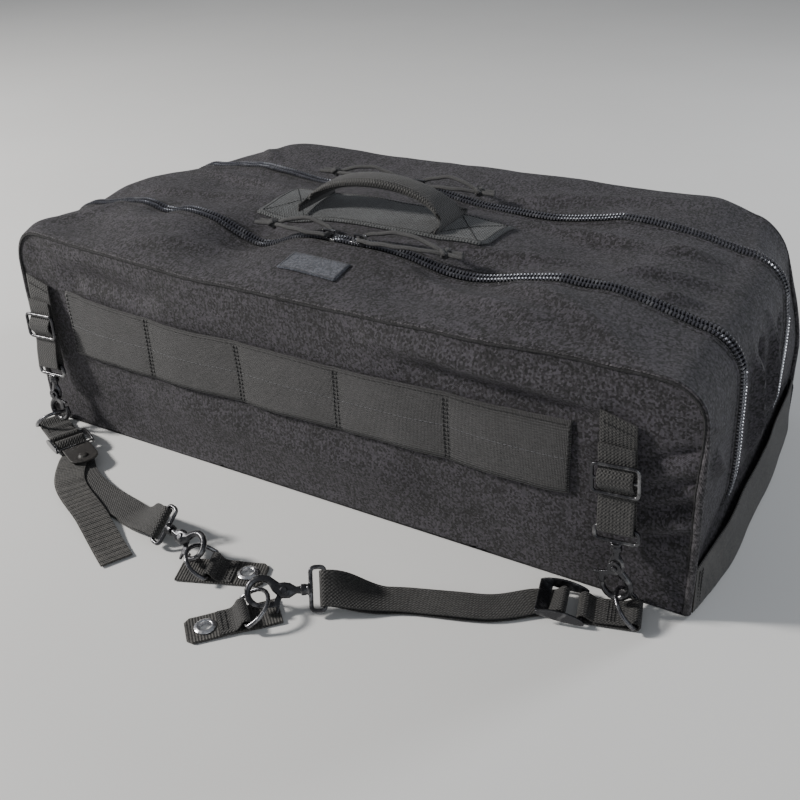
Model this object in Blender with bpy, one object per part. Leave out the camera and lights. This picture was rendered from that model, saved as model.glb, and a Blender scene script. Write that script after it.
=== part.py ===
"""Soft flight bag with two zipped compartments and a hooked tie-down harness.

The frame has its origin at the centre of the bag's base, +X to the right end,
+Y to the back and +Z up.  All sizes are metres.
"""
import bpy
import bmesh
from math import acos, cos, pi, sin, sqrt
from mathutils import Vector

# Bag body
LENGTH = 0.610
DEPTH = 0.300
SEAM_HEIGHT = 0.180
CROWN = 0.012
END_BULGE = 0.014
CORNER_RADIUS = 0.030
WALL = 0.004
TRAY_HEIGHT = 0.040
GAP = 0.0005
FULLNESS_POWER = 4

# Zip lines and the sewn-on pieces
FRONT_ZIP_Y = -0.062
REAR_ZIP_Y = 0.078
ZIP_HALF_WIDTH = 0.0055
ZIP_END_Z = 0.046
ZIP_DEPTH = 0.0025
PIPING_RADIUS = 0.0022
FEATURE_X = -0.018
CELL_LENGTH = 0.0942
CELL_COUNT = 5
CELL_BOW = 0.0022
BAND_LOW = 0.079
BAND_HIGH = 0.133
WEB_WIDTH = 0.0254
WEB = 0.0014
PATCH_LENGTH = 0.219
PATCH_WIDTH = 0.061
PATCH = 0.0018
GRIP_SPAN = 0.113
GRIP_RISE = 0.031
GRIP_WIDTH = 0.030
LABEL_SIZE = (0.052, 0.025, 0.0008)
LABEL_CENTRE = (-0.013, -0.109)
SEWN_GAP = 0.0004
PATCH_X = FEATURE_X - 0.002
GRIP_Y = 0.002
GRIP_AXIS_Z = SEAM_HEIGHT + CROWN + SEWN_GAP + PATCH + 0.001
SLIDER_PLATE = 0.0022
PULL_CORD_RADIUS = 0.0013

# Snap hook, D-ring and adapter sizes
WIRE = 0.0017
EYE_HALF = 0.0152
EYE_HEIGHT = 0.010
COLLAR_RADIUS = 0.0042
RIVET_DROP = 0.019
JAW_DROP = 0.016
JAW_RADIUS = 0.0098
HOOK_TUBE = 0.0026
HOOK_THIN = 0.0022
TURN = 0.0033
RING_HALF = 0.0155
RING_LEG = 0.0065
ADAPTER_LENGTH = 0.029
ADAPTER_WIDTH = 0.0345
COLLAR_START = EYE_HEIGHT + 0.0006
NECK_START = COLLAR_START + 0.0065
RIVET_W = EYE_HEIGHT + RIVET_DROP
JAW_W = RIVET_W + JAW_DROP
GROMMET_AT = 0.027
GROMMET_BORE = 0.0046
TAB_THICK = 0.0018
TAB_BACK = 0.026
TAB_FRONT = 0.041

# Heights of bars and webbing layers over the surface the bag stands on
FLOOR_BAR = 0.0045
RAISED_BAR = 0.0062
LOW_LAYER = 0.0012
UPPER_LAYER = 0.0034
LEAD = 0.018

# Where the harness lies
STRAP_TOP = {"left": (-0.284, -0.1535, 0.1470), "right": (0.2485, -0.1535, 0.1470)}
STRAP_LINE = {"left": (0.05, -0.08, -1.0), "right": (0.09, -0.08, -1.0)}
STRAP_DROP = 0.080
TRIGLIDE_W = 0.0425
END_TAB_LINE = {"left": (0.906, -0.423, 0), "right": (-0.966, -0.259, 0)}
END_TAB_LENGTH = 0.0357
END_RING_HOLD = (0.0055, 0.0012, -0.0032)
LOWER_JAW = {"left": (-0.036, -0.262, 0.0168), "right": (0.041, -0.280, 0.0168)}
LOWER_HOLD = {"left": (0.0091, 0.0006, 0.0001), "right": (-0.0048, 0.0002, -0.0032)}
LOWER_LINE = {"left": (0.97, -0.25, 0), "right": (-0.84, -0.54, 0)}
HOOK_ROLL = pi / 4
CENTER_TAB_LINE = {"left": (0.934, 0.358, 0), "right": (-0.682, -0.731, 0)}
STRAP_ROUTE = {"left": [(-0.190, -0.2235), (-0.125, -0.2390)],
               "right": [(0.180, -0.2080), (0.128, -0.2265)]}
TAIL_ROUTE = [(-0.200, -0.2340, 0), (-0.145, -0.2620, 0), (-0.093, -0.2890, 0)]

X = Vector((1, 0, 0))
Y = Vector((0, 1, 0))
Z = Vector((0, 0, 1))


def clear_scene():
    for item in list(bpy.data.objects):
        bpy.data.objects.remove(item, do_unlink=True)


def material(name, colour, roughness, metallic=0.0):
    made = bpy.data.materials.new(name)
    made.use_nodes = True
    shader = made.node_tree.nodes["Principled BSDF"]
    shader.inputs["Base Color"].default_value = (*colour, 1.0)
    shader.inputs["Roughness"].default_value = roughness
    shader.inputs["Metallic"].default_value = metallic
    return made


def add_object(name, mesh, finish, origin=None, smooth_angle=0.6):
    """Link a mesh as a named object whose origin sits at the given point."""
    pivot = Vector(origin) if origin else Vector((0, 0, 0))
    for vertex in mesh.vertices:
        vertex.co -= pivot
    mesh.shade_smooth()
    mesh.set_sharp_from_angle(angle=smooth_angle)
    mesh.materials.append(finish)
    item = bpy.data.objects.new(name, mesh)
    item.location = pivot
    bpy.context.scene.collection.objects.link(item)
    return item


def finish_mesh(work, name):
    bmesh.ops.recalc_face_normals(work, faces=work.faces[:])
    mesh = bpy.data.meshes.new(name)
    work.to_mesh(mesh)
    work.free()
    return mesh


def combine(mesh, others, operation="UNION"):
    """Join overlapping solids to a mesh, or cut them from it, with exact Booleans."""
    helpers = [bpy.data.objects.new("helper", each) for each in [mesh] + others]
    for helper in helpers:
        bpy.context.scene.collection.objects.link(helper)
    for helper in helpers[1:]:
        step = helpers[0].modifiers.new("join", "BOOLEAN")
        step.operation = operation
        step.solver = "EXACT"
        step.object = helper
    bpy.context.view_layer.update()
    graph = bpy.context.evaluated_depsgraph_get()
    result = bpy.data.meshes.new_from_object(helpers[0].evaluated_get(graph))
    for helper in helpers:
        bpy.data.objects.remove(helper, do_unlink=True)
    return result


# ---------------------------------------------------------------- basic solids

def sweep(path, section, sides, closed=False, scales=None):
    """Carry a section along a path; each section's first axis is the side vector."""
    count = len(path)
    path = [Vector(point) for point in path]
    if isinstance(sides, Vector):
        sides = [sides] * count
    work = bmesh.new()
    rings = []
    for i, point in enumerate(path):
        before = path[i - 1] if i or closed else point
        after = path[(i + 1) % count] if i + 1 < count or closed else point
        tangent = (after - before).normalized()
        side = (sides[i] - tangent * sides[i].dot(tangent)).normalized()
        normal = tangent.cross(side)
        wide, thick = scales[i] if scales else (1.0, 1.0)
        rings.append([work.verts.new(point + side * (a * wide) + normal * (b * thick))
                      for a, b in section])
    for i in range(count if closed else count - 1):
        ring, following = rings[i], rings[(i + 1) % count]
        for k in range(len(section)):
            m = (k + 1) % len(section)
            work.faces.new((ring[k], ring[m], following[m], following[k]))
    if not closed:
        work.faces.new(rings[0][::-1])
        work.faces.new(rings[-1])
    return finish_mesh(work, "sweep")


def disc(radius, sides=8):
    return [(radius * cos(2 * pi * k / sides), radius * sin(2 * pi * k / sides))
            for k in range(sides)]


def ribbon(width, thickness):
    return [(-width / 2, -thickness / 2), (width / 2, -thickness / 2),
            (width / 2, thickness / 2), (-width / 2, thickness / 2)]


def pill(width, thickness):
    """A flat section with rounded edges."""
    h, r = width / 2, thickness / 2
    return [(-h, -r * 0.4), (-h + r, -r), (h - r, -r), (h, -r * 0.4),
            (h, r * 0.4), (h - r, r), (-h + r, r), (-h, r * 0.4)]


def prism(points, lift):
    """Extrude a planar outline along a vector."""
    work = bmesh.new()
    low = [work.verts.new(Vector(point)) for point in points]
    high = [work.verts.new(Vector(point) + lift) for point in points]
    work.faces.new(low[::-1])
    work.faces.new(high)
    for k in range(len(points)):
        m = (k + 1) % len(points)
        work.faces.new((low[k], low[m], high[m], high[k]))
    return finish_mesh(work, "prism")


def box(low, high):
    corners = [(low[0], low[1], low[2]), (high[0], low[1], low[2]),
               (high[0], high[1], low[2]), (low[0], high[1], low[2])]
    return prism(corners, Vector((0, 0, high[2] - low[2])))


def turned(profile, centre, axis, sides=12, closed=False):
    """Turn (radius, height) pairs about an axis; a closed profile makes a ring."""
    axis = Vector(axis).normalized()
    across = axis.orthogonal().normalized()
    along = axis.cross(across)
    work = bmesh.new()
    rings = []
    for radius, height in profile:
        middle = Vector(centre) + axis * height
        rings.append([work.verts.new(middle + across * (radius * cos(2 * pi * k / sides))
                                     + along * (radius * sin(2 * pi * k / sides)))
                      for k in range(sides)])
    pairs = list(zip(rings, rings[1:]))
    if closed:
        pairs.append((rings[-1], rings[0]))
    for ring, following in pairs:
        for k in range(sides):
            m = (k + 1) % sides
            work.faces.new((ring[k], ring[m], following[m], following[k]))
    if not closed:
        work.faces.new(rings[0][::-1])
        work.faces.new(rings[-1])
    return finish_mesh(work, "turned")


def smooth_step(value):
    value = min(1.0, max(0.0, value))
    return value * value * (3 - 2 * value)


def curve_through(points, steps):
    """A Catmull-Rom curve through a few hand-chosen points."""
    points = [Vector(point) for point in points]
    ends = [points[0] * 2 - points[1]] + points + [points[-1] * 2 - points[-2]]
    result = []
    for i in range(len(points) - 1):
        p0, p1, p2, p3 = ends[i:i + 4]
        for k in range(steps):
            t = k / steps
            result.append(0.5 * (p1 * 2 + (p2 - p0) * t + (p0 * 2 - p1 * 5 + p2 * 4 - p3) * t * t
                                 + (p1 * 3 - p0 - p2 * 3 + p3) * t ** 3))
    result.append(points[-1])
    return result


# ---------------------------------------------------------------- bag shells

def fullness(y):
    return 1 - abs(2 * y / DEPTH) ** FULLNESS_POWER


def end_x(y):
    return LENGTH / 2 + END_BULGE * fullness(y)


def top_z(y):
    return SEAM_HEIGHT + CROWN * fullness(y)


def hoop_outline(y, inset, low, segments=6, shape_y=None):
    """Points up the right end, over the top and down the left end at one depth."""
    shape = y if shape_y is None else shape_y
    x, z = end_x(shape) - inset, top_z(shape) - inset
    radius = max(CORNER_RADIUS - inset, 0.004)
    right = [(x, low)]
    for k in range(segments + 1):
        angle = 0.5 * pi * k / segments
        right.append((x - radius + radius * cos(angle), z - radius + radius * sin(angle)))
    left = [(-px, pz) for px, pz in reversed(right)]
    return [Vector((px, y, pz)) for px, pz in right + left]


def hoop_shell(outer_ys, inner_ys, low, panel, inset=0.0, depth=WALL):
    """A wall over the bag between two depths, closed by a panel at its first depth if asked."""
    work = bmesh.new()
    outer = [[work.verts.new(p) for p in hoop_outline(y, inset, low)] for y in outer_ys]
    inner = [[work.verts.new(p) for p in hoop_outline(iy, inset + depth, low, shape_y=oy)]
             for iy, oy in zip(inner_ys, outer_ys)]
    count, rows = len(outer[0]), len(outer)
    for j in range(rows - 1):
        for i in range(count - 1):
            work.faces.new((outer[j][i], outer[j][i + 1], outer[j + 1][i + 1], outer[j + 1][i]))
            work.faces.new((inner[j][i], inner[j][i + 1], inner[j + 1][i + 1], inner[j + 1][i]))
        for i in (0, count - 1):
            work.faces.new((outer[j][i], outer[j + 1][i], inner[j + 1][i], inner[j][i]))
    for i in range(count - 1):
        work.faces.new((outer[-1][i], outer[-1][i + 1], inner[-1][i + 1], inner[-1][i]))
        if not panel:
            work.faces.new((outer[0][i], outer[0][i + 1], inner[0][i + 1], inner[0][i]))
    if panel:
        work.faces.new(outer[0])
        work.faces.new(inner[0])
        work.faces.new((outer[0][0], outer[0][-1], inner[0][-1], inner[0][0]))
    return finish_mesh(work, "hoop")


def cover_mesh(seam_y, zip_y):
    """A cover: flat panel with its top and end gussets as one open box."""
    toward = 1 if zip_y > seam_y else -1
    rim = zip_y - toward * (ZIP_HALF_WIDTH + GAP)
    span = rim - seam_y
    outer = [seam_y, seam_y + span * 0.12, seam_y + span * 0.35, seam_y + span * 0.65, rim]
    inner = [seam_y + toward * WALL] + [y + toward * WALL * 0.2 for y in outer[1:-1]] + [rim]
    return hoop_shell(outer, inner, TRAY_HEIGHT + GAP, panel=True)


def band_mesh():
    first = FRONT_ZIP_Y + ZIP_HALF_WIDTH + GAP
    last = REAR_ZIP_Y - ZIP_HALF_WIDTH - GAP
    depths = [first + (last - first) * k / 4 for k in range(5)]
    return hoop_shell(depths, depths, TRAY_HEIGHT + GAP, panel=False)


def zip_half_mesh(zip_y, side):
    near = zip_y + side * 0.0003
    far = zip_y + side * ZIP_HALF_WIDTH
    depths = [near, far] if near < far else [far, near]
    return hoop_shell(depths, depths, ZIP_END_Z, panel=False, inset=0.0006, depth=ZIP_DEPTH)


def tray_loop(inset, height, rows=8):
    half = DEPTH / 2 - inset
    depths = [-half + 2 * half * k / rows for k in range(rows + 1)]
    right = [Vector((end_x(y * (DEPTH / 2) / half) - inset, y, height)) for y in depths]
    left = [Vector((-p.x, p.y, height)) for p in reversed(right)]
    return right + left


def tray_mesh():
    work = bmesh.new()
    levels = [(0, 0), (0, TRAY_HEIGHT), (WALL, TRAY_HEIGHT), (WALL, WALL)]
    loops = [[work.verts.new(p) for p in tray_loop(inset, height)] for inset, height in levels]
    for low, high in zip(loops, loops[1:]):
        for k in range(len(low)):
            m = (k + 1) % len(low)
            work.faces.new((low[k], low[m], high[m], high[k]))
    work.faces.new(loops[0][::-1])
    work.faces.new(loops[-1])
    return finish_mesh(work, "tray")


def divider_mesh():
    y, thickness = 0.006, 0.003
    low = WALL + 0.0003 + 0.003 + 0.0005
    points = hoop_outline(y, WALL + 0.001, low)
    return prism([Vector((p.x, y - thickness / 2, p.z)) for p in points], Y * thickness)


def stiffener_mesh():
    half_x, half_y, base = LENGTH / 2 - WALL - 0.002, DEPTH / 2 - WALL - 0.002, WALL + 0.0003
    return box((-half_x, -half_y, base), (half_x, half_y, base + 0.003))


def piping_mesh(seam_y):
    out = -1 if seam_y < 0 else 1
    lift = 0.0019
    points = hoop_outline(seam_y, -lift, TRAY_HEIGHT + GAP)
    return sweep([p + Y * (out * lift) for p in points], disc(PIPING_RADIUS), Y)


# ---------------------------------------------------------------- sewn-on pieces

def webbing_band_mesh():
    start = FEATURE_X - CELL_LENGTH * CELL_COUNT / 2
    steps = 6
    face = -DEPTH / 2 - 0.0004 - WEB / 2
    middle = (BAND_LOW + BAND_HIGH) / 2
    path = []
    for k in range(CELL_COUNT * steps + 1):
        bow = CELL_BOW * abs(sin(pi * k / steps))
        path.append((start + CELL_LENGTH * k / steps, face - bow, middle))
    return sweep(path, ribbon(BAND_HIGH - BAND_LOW, WEB), Z)


def handle_patch_mesh():
    base = top_z(0) + SEWN_GAP
    x, y = PATCH_LENGTH / 2, PATCH_WIDTH / 2
    return box((PATCH_X - x, GRIP_Y - y, base), (PATCH_X + x, GRIP_Y + y, base + PATCH))


def handle_grip_mesh():
    steps = 16
    path, scales = [], []
    for k in range(steps + 1):
        angle = pi * (1 - k / steps)
        path.append((PATCH_X + GRIP_SPAN / 2 * cos(angle), GRIP_Y,
                     GRIP_AXIS_Z + 0.003 + GRIP_RISE * sin(angle)))
        scales.append((0.4 + 0.6 * smooth_step(sin(angle) * 1.3), 1.0))
    return sweep(path, pill(GRIP_WIDTH, 0.006), Y, scales=scales)


def label_mesh():
    length, width, thickness = LABEL_SIZE
    x, y = LABEL_CENTRE
    near, far = y - width / 2, y + width / 2
    lift = 0.0009
    corners = [(x - length / 2, near, top_z(near) + lift), (x + length / 2, near, top_z(near) + lift),
               (x + length / 2, far, top_z(far) + lift), (x - length / 2, far, top_z(far) + lift)]
    return prism(corners, Vector((0, -0.12, 1)).normalized() * thickness)


def end_handle_mesh(side):
    """The low webbing handle across one end, sewn in at both seams and loose between."""
    half = DEPTH / 2 - 0.004
    path = []
    for k in range(13):
        y = -half + 2 * half * k / 12
        path.append((side * (end_x(y) + 0.0017 + 0.008 * fullness(y)), y, TRAY_HEIGHT / 2))
    return sweep(path, ribbon(0.038, 0.002), Z)


# ---------------------------------------------------------------- zip sliders

def slider_mesh(x, zip_y):
    """Top plate and bridge of a slider; the pull passes through the bridge."""
    base = top_z(zip_y) + 0.0003
    half_x, half_y = 0.0075, 0.0055
    outline = [(x - half_x, zip_y - half_y * 0.7), (x + half_x, zip_y - half_y),
               (x + half_x, zip_y + half_y), (x - half_x, zip_y + half_y * 0.7)]
    body = prism([(px, py, base) for px, py in outline], Z * SLIDER_PLATE)
    foot = base + SLIDER_PLATE - 0.0005
    post, rise, bar, wide = 0.0055, 0.0060, 0.0012, 0.0013
    profile = [(x - post, foot), (x - post, foot + rise), (x + post, foot + rise), (x + post, foot),
               (x + post - bar, foot), (x + post - bar, foot + rise - bar),
               (x - post + bar, foot + rise - bar), (x - post + bar, foot)]
    bridge = prism([(px, zip_y - wide, pz) for px, pz in profile], Y * (2 * wide))
    return combine(body, [bridge])


def pull_pivot(x, zip_y):
    return Vector((x, zip_y, top_z(zip_y) + SLIDER_PLATE + 0.0027))


def pull_cord_mesh(x, zip_y, reach, direction):
    """A knotted cord loop through the slider's bridge, with its two cut tails."""
    pivot = pull_pivot(x, zip_y)
    leg = 0.0042
    route = []
    knot_x = reach - 0.0022
    for k in range(9):
        t = k / 8
        spread = leg * (1 - t) ** 0.6 * (1 + 0.5 * sin(pi * t)) + 0.0017
        route.append((knot_x * (1 - 0.97 * (1 - t)), spread))
    bend = [(0, leg), (-0.0012, 0.0026), (-0.0012, -0.0026), (0, -leg)]
    local = route[::-1] + bend + [(a, -b) for a, b in route]
    path = [pivot + Vector((direction * a, b, 0)) for a, b in local]
    loop = sweep(path, disc(PULL_CORD_RADIUS, 6), Z)
    centre = pivot + Vector((direction * reach, 0, 0))
    profile = [(0.0012, -0.0041), (0.0036, -0.0026), (0.0042, 0), (0.0036, 0.0026), (0.0012, 0.0041)]
    knot = turned(profile, centre, X, sides=8)
    tails = []
    for side in (-1, 1):
        start = centre + Vector((direction * 0.0022, side * 0.0016, 0))
        stop = centre + Vector((direction * 0.017, side * 0.0024, 0))
        tails.append(sweep([start, stop], disc(PULL_CORD_RADIUS, 6), Z))
    return combine(knot, [loop] + tails)


# ---------------------------------------------------------------- harness hardware

class Place:
    """A local frame: u across, w along (from eye to jaw), n out of the piece's face.

    The trigger lies on the face that face * n points out of.
    """

    def __init__(self, origin, w, u, n, face=1):
        self.face = face
        self.origin = Vector(origin)
        self.w = Vector(w).normalized()
        self.u = Vector(u).normalized()
        self.n = Vector(n).normalized()

    def at(self, u, w, n=0.0):
        return self.origin + self.u * u + self.w * w + self.n * n


def eye_mesh(place):
    """Rectangular webbing loop with its swivel collar; w = 0 is the webbing bar."""
    r = 0.003
    corners = [(EYE_HALF, 0), (EYE_HALF, EYE_HEIGHT), (-EYE_HALF, EYE_HEIGHT), (-EYE_HALF, 0)]
    path = []
    for k, (u, w) in enumerate(corners):
        for step in range(4):
            angle = -0.5 * pi + 0.5 * pi * (k + step / 3)
            cu = u - r if u > 0 else u + r
            cw = w - r if w > 0 else w + r
            path.append(place.at(cu + r * cos(angle), cw + r * sin(angle)))
    loop = sweep(path, disc(WIRE), place.n, closed=True)
    profile = [(COLLAR_RADIUS, 0), (COLLAR_RADIUS, 0.0015), (0.0034, 0.0022),
               (COLLAR_RADIUS, 0.0029), (COLLAR_RADIUS, 0.0062)]
    collar = turned(profile, place.at(0, COLLAR_START), place.w, sides=10)
    return combine(loop, [collar])


def hook_mesh(place):
    """Forged hook: neck, rivet boss and the C-shaped jaw, with the rivet through it."""
    path = [(0, NECK_START), (0, NECK_START + 0.003), (0, RIVET_W - 0.004), (0.0004, RIVET_W + 0.001),
            (0.0028, RIVET_W + 0.0055)]
    radii = [0.0030, 0.0026, 0.0055, 0.0060, 0.0040]
    first, last, steps = 0.24 * pi, 1.64 * pi, 14
    for k in range(steps + 1):
        angle = first + (last - first) * k / steps
        path.append((JAW_RADIUS * sin(angle), JAW_W - JAW_RADIUS * cos(angle)))
        radii.append(HOOK_TUBE * (1.1 - 0.3 * k / steps))
    thin = [min(r, HOOK_THIN + 0.0003) for r in radii]
    points = [place.at(u, w) for u, w in path]
    scales = [(t / HOOK_TUBE, r / HOOK_TUBE) for t, r in zip(thin, radii)]
    body = sweep(points, disc(HOOK_TUBE), place.n, scales=scales)
    rivet = turned([(0.0026, -0.0036), (0.0026, -0.0012), (0.0014, -0.0012), (0.0014, 0.0053),
                    (0.0026, 0.0053), (0.0022, 0.0062)],
                   place.at(0, RIVET_W), place.n * place.face, sides=10)
    return combine(body, [rivet])


def drill(mesh, centre, axis, radius):
    """Cut a round hole through a mesh."""
    return combine(mesh, [turned([(radius, -0.012), (radius, 0.012)], centre, axis)], "DIFFERENCE")


def trigger_mesh(place):
    """Sprung gate on the hook's face: lug, thumb tab and the arm that closes the jaw."""
    lug = 0.0052
    outline = []
    for k in range(9):
        angle = -pi / 3 + (205 / 180 * pi + pi / 3) * k / 8
        outline.append((lug * cos(angle), lug * sin(angle)))
    outline += [(-0.0095, -0.0036), (-0.0142, -0.0044), (-0.0155, -0.0054), (-0.0142, -0.0064),
                (-0.0108, -0.0062), (-0.0112, -0.0112), (-0.0098, -0.0132), (-0.0070, -0.0126),
                (-0.0070, -0.0080), (-0.0024, -0.0054)]
    points = [place.at(u, RIVET_W - v, 0.0029 * place.face) for u, v in outline]
    plate = prism(points, place.n * (0.0020 * place.face))
    return drill(plate, place.at(0, RIVET_W), place.n, 0.0017)


def ring_mesh(centre, bar, rise):
    """D-ring: straight bar through the webbing and a round bow."""
    bar, rise = Vector(bar).normalized(), Vector(rise).normalized()
    outline = [(0, 0), (RING_HALF * 0.8, 0), (RING_HALF, 0.0018)]
    for k in range(11):
        angle = pi * k / 10
        outline.append((RING_HALF * cos(angle), RING_LEG + RING_HALF * sin(angle)))
    outline += [(-RING_HALF, 0.0018), (-RING_HALF * 0.8, 0)]
    path = [Vector(centre) + bar * a + rise * b for a, b in outline]
    return sweep(path, disc(WIRE), bar.cross(rise).normalized(), closed=True)


def adapter_places(near, along):
    """Centre lines of an adapter's bars: near end bar, sliding bar and far end bar."""
    near = Vector((near.x, near.y, FLOOR_BAR))
    far = near + along * ADAPTER_LENGTH + Z * 0.0045
    return near, near.lerp(far, 0.52), far


def adapter_mesh(near, far):
    along = (far - near).normalized()
    across = Z.cross(along).normalized()
    face = along.cross(across)
    half, length, r = ADAPTER_WIDTH / 2, (far - near).length, 0.004
    path = []
    for k, (a, b) in enumerate([(half, 0), (half, length), (-half, length), (-half, 0)]):
        for step in range(4):
            angle = -0.5 * pi + 0.5 * pi * (k + step / 3)
            ca = a - r if a > 0 else a + r
            cb = b - r if b > 0 else b + r
            path.append(near + across * (ca + r * cos(angle)) + along * (cb + r * sin(angle)))
    return sweep(path, [(a, b * 1.1) for a, b in disc(0.0016)], face, closed=True)


def adapter_bar_mesh(middle, along):
    across = Z.cross(Vector(along)).normalized()
    half = ADAPTER_WIDTH / 2 - 0.0016 * 1.1 - 0.0004
    return sweep([middle - across * half, middle + across * half], disc(0.0013, 8), Z)


def loop_web_mesh(route, start_bar, stop_bar, stop_roll, sinks):
    """Webbing carried round two bars in a closed loop, both runs close together between them."""
    ends = [Vector(start_bar)] + [Vector((p[0], p[1], 0)) for p in route] + [Vector(stop_bar)]
    line = curve_through([(p.x, p.y, 0) for p in ends], 5 if route else 8)
    length = sum((b - a).length for a, b in zip(line, line[1:]))
    bottom, top, travelled = [], [], 0.0
    for i, point in enumerate(line):
        ahead = (line[min(i + 1, len(line) - 1)] - line[max(i - 1, 0)]).normalized()
        if i:
            travelled += (point - line[i - 1]).length
        near = 1 - smooth_step(travelled / sinks[0])
        far = 1 - smooth_step((length - travelled) / sinks[1])
        roll = stop_roll * far
        across = Z.cross(ahead) * cos(roll) + Z * sin(roll)
        up = ahead.cross(across)
        base = (LOW_LAYER + UPPER_LAYER) / 2
        middle = base + (ends[0].z - base) * near + (ends[-1].z - base) * far
        spread = (UPPER_LAYER - LOW_LAYER) / 2
        spread += (TURN - spread) * max(near, far)
        centre = Vector((point.x, point.y, middle))
        bottom.append((centre - up * spread, across))
        top.append((centre + up * spread, across))

    def turn(bar, ahead, across):
        up = ahead.cross(across)
        return [(bar + ahead * (TURN * sin(a)) - up * (TURN * cos(a)), across)
                for a in (pi * k / 6 for k in range(1, 6))]

    tail = (line[-1] - line[-2]).normalized()
    head = (line[0] - line[1]).normalized()
    around_stop = turn(ends[-1], tail, bottom[-1][1])
    around_start = turn(ends[0], head, bottom[0][1] * -1)
    points = bottom + around_stop + top[::-1] + [(p, s * -1) for p, s in around_start[::-1]]
    return sweep([p for p, s in points], ribbon(WEB_WIDTH, WEB), [s for p, s in points], closed=True)


# ---------------------------------------------------------------- materials

def make_finishes():
    return {
        "nylon": material("nylon", (0.060, 0.055, 0.060), 0.85),
        "webbing": material("webbing", (0.075, 0.072, 0.068), 0.8),
        "steel": material("black_steel", (0.045, 0.045, 0.048), 0.35, 0.9),
        "coil": material("zip_coil", (0.012, 0.012, 0.014), 0.35),
        "cord": material("cord", (0.05, 0.05, 0.05), 0.8),
        "board": material("board", (0.10, 0.10, 0.10), 0.6),
        "label": material("label", (0.10, 0.13, 0.22), 0.6),
        "silver": material("silver", (0.70, 0.70, 0.72), 0.3, 1.0),
        "piping": material("piping", (0.020, 0.020, 0.022), 0.6),
    }


# ---------------------------------------------------------------- assembly

def build_bag(finish):
    nylon, coil = finish["nylon"], finish["coil"]
    front_hinge = (0, -DEPTH / 2, TRAY_HEIGHT)
    rear_hinge = (0, DEPTH / 2, TRAY_HEIGHT)
    add_object("lower_tray", tray_mesh(), nylon)
    add_object("center_band", band_mesh(), nylon)
    add_object("divider_panel", divider_mesh(), nylon)
    add_object("bottom_stiffener", stiffener_mesh(), finish["board"])
    add_object("front_cover", cover_mesh(-DEPTH / 2, FRONT_ZIP_Y), nylon, front_hinge)
    add_object("rear_cover", cover_mesh(DEPTH / 2, REAR_ZIP_Y), nylon, rear_hinge)
    add_object("front_piping", piping_mesh(-DEPTH / 2), finish["piping"], front_hinge)
    add_object("rear_piping", piping_mesh(DEPTH / 2), finish["piping"], rear_hinge)
    add_object("front_zip_cover_half", zip_half_mesh(FRONT_ZIP_Y, -1), coil, front_hinge)
    add_object("front_zip_body_half", zip_half_mesh(FRONT_ZIP_Y, 1), coil)
    add_object("rear_zip_cover_half", zip_half_mesh(REAR_ZIP_Y, 1), coil, rear_hinge)
    add_object("rear_zip_body_half", zip_half_mesh(REAR_ZIP_Y, -1), coil)
    add_object("attachment_webbing", webbing_band_mesh(), finish["webbing"], front_hinge)
    add_object("handle_base", handle_patch_mesh(), finish["webbing"])
    add_object("handle_grip", handle_grip_mesh(), finish["webbing"], (0, GRIP_Y, GRIP_AXIS_Z))
    add_object("label", label_mesh(), finish["label"], front_hinge)
    add_object("left_end_handle", end_handle_mesh(-1), finish["webbing"])
    add_object("right_end_handle", end_handle_mesh(1), finish["webbing"])


def build_sliders(finish):
    """Each zip has two sliders that meet near the middle and run apart to open it."""
    rows = [("front_left", -0.030, FRONT_ZIP_Y, 0.056, -1), ("front_right", -0.001, FRONT_ZIP_Y, 0.076, 1),
            ("rear_left", -0.052, REAR_ZIP_Y, 0.064, -1), ("rear_right", -0.026, REAR_ZIP_Y, 0.060, 1)]
    for name, x, zip_y, reach, direction in rows:
        add_object(name + "_slider", slider_mesh(x, zip_y), finish["steel"], (x, zip_y, top_z(zip_y)))
        add_object(name + "_pull_cord", pull_cord_mesh(x, zip_y, reach, direction), finish["cord"],
                   pull_pivot(x, zip_y))


def upper_place(side):
    """The short strap's frame, at its sewn top end."""
    w = Vector(STRAP_LINE[side]).normalized()
    n = (-Y - w * w.dot(-Y)).normalized()
    u = n.cross(w)
    if (u.x < 0) != (side == "left"):
        u = -u
    return Place(STRAP_TOP[side], w, u, n)


def upper_hook_place(side):
    strap = upper_place(side)
    return Place(strap.at(0, STRAP_DROP, TURN), strap.w, strap.u, strap.n)


def short_strap_mesh(place):
    """Sewn at the top, down behind the eye's bar, round it and up to the triglide."""
    path = [(0.0, 0.0), (0.020, 0.0), (0.045, 0.0), (STRAP_DROP - 0.006, 0.0), (STRAP_DROP, 0.0)]
    for k in range(1, 6):
        angle = pi * k / 6
        path.append((STRAP_DROP + TURN * sin(angle), TURN * (1 - cos(angle))))
    path += [(STRAP_DROP, 2 * TURN), (STRAP_DROP - 0.012, 2 * TURN - 0.001),
             (STRAP_DROP - 0.024, 0.0034), (0.032, 0.0034), (0.026, 0.0030)]
    points = [place.at(0, w, n) for w, n in path]
    return sweep(points, ribbon(WEB_WIDTH, WEB), place.u)


def triglide_mesh(place):
    half_u, half_w, r = 0.0160, 0.0105, 0.003
    lift = UPPER_LAYER + WEB / 2 + SEWN_GAP + 0.0015
    path = []
    corners = [(half_u, -half_w), (half_u, half_w), (-half_u, half_w), (-half_u, -half_w)]
    for k, (u, w) in enumerate(corners):
        for step in range(4):
            angle = -0.5 * pi + 0.5 * pi * (k + step / 3)
            cu = u - r if u > 0 else u + r
            cw = w - r if w > 0 else w + r
            path.append(place.at(cu + r * cos(angle), TRIGLIDE_W + cw + r * sin(angle), lift))
    ring = sweep(path, disc(0.0015), place.n, closed=True)
    reach = half_u - 0.0006
    bar = sweep([place.at(-reach, TRIGLIDE_W, lift), place.at(reach, TRIGLIDE_W, lift)],
                disc(0.0013, 6), place.n)
    return combine(ring, [bar])


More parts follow.
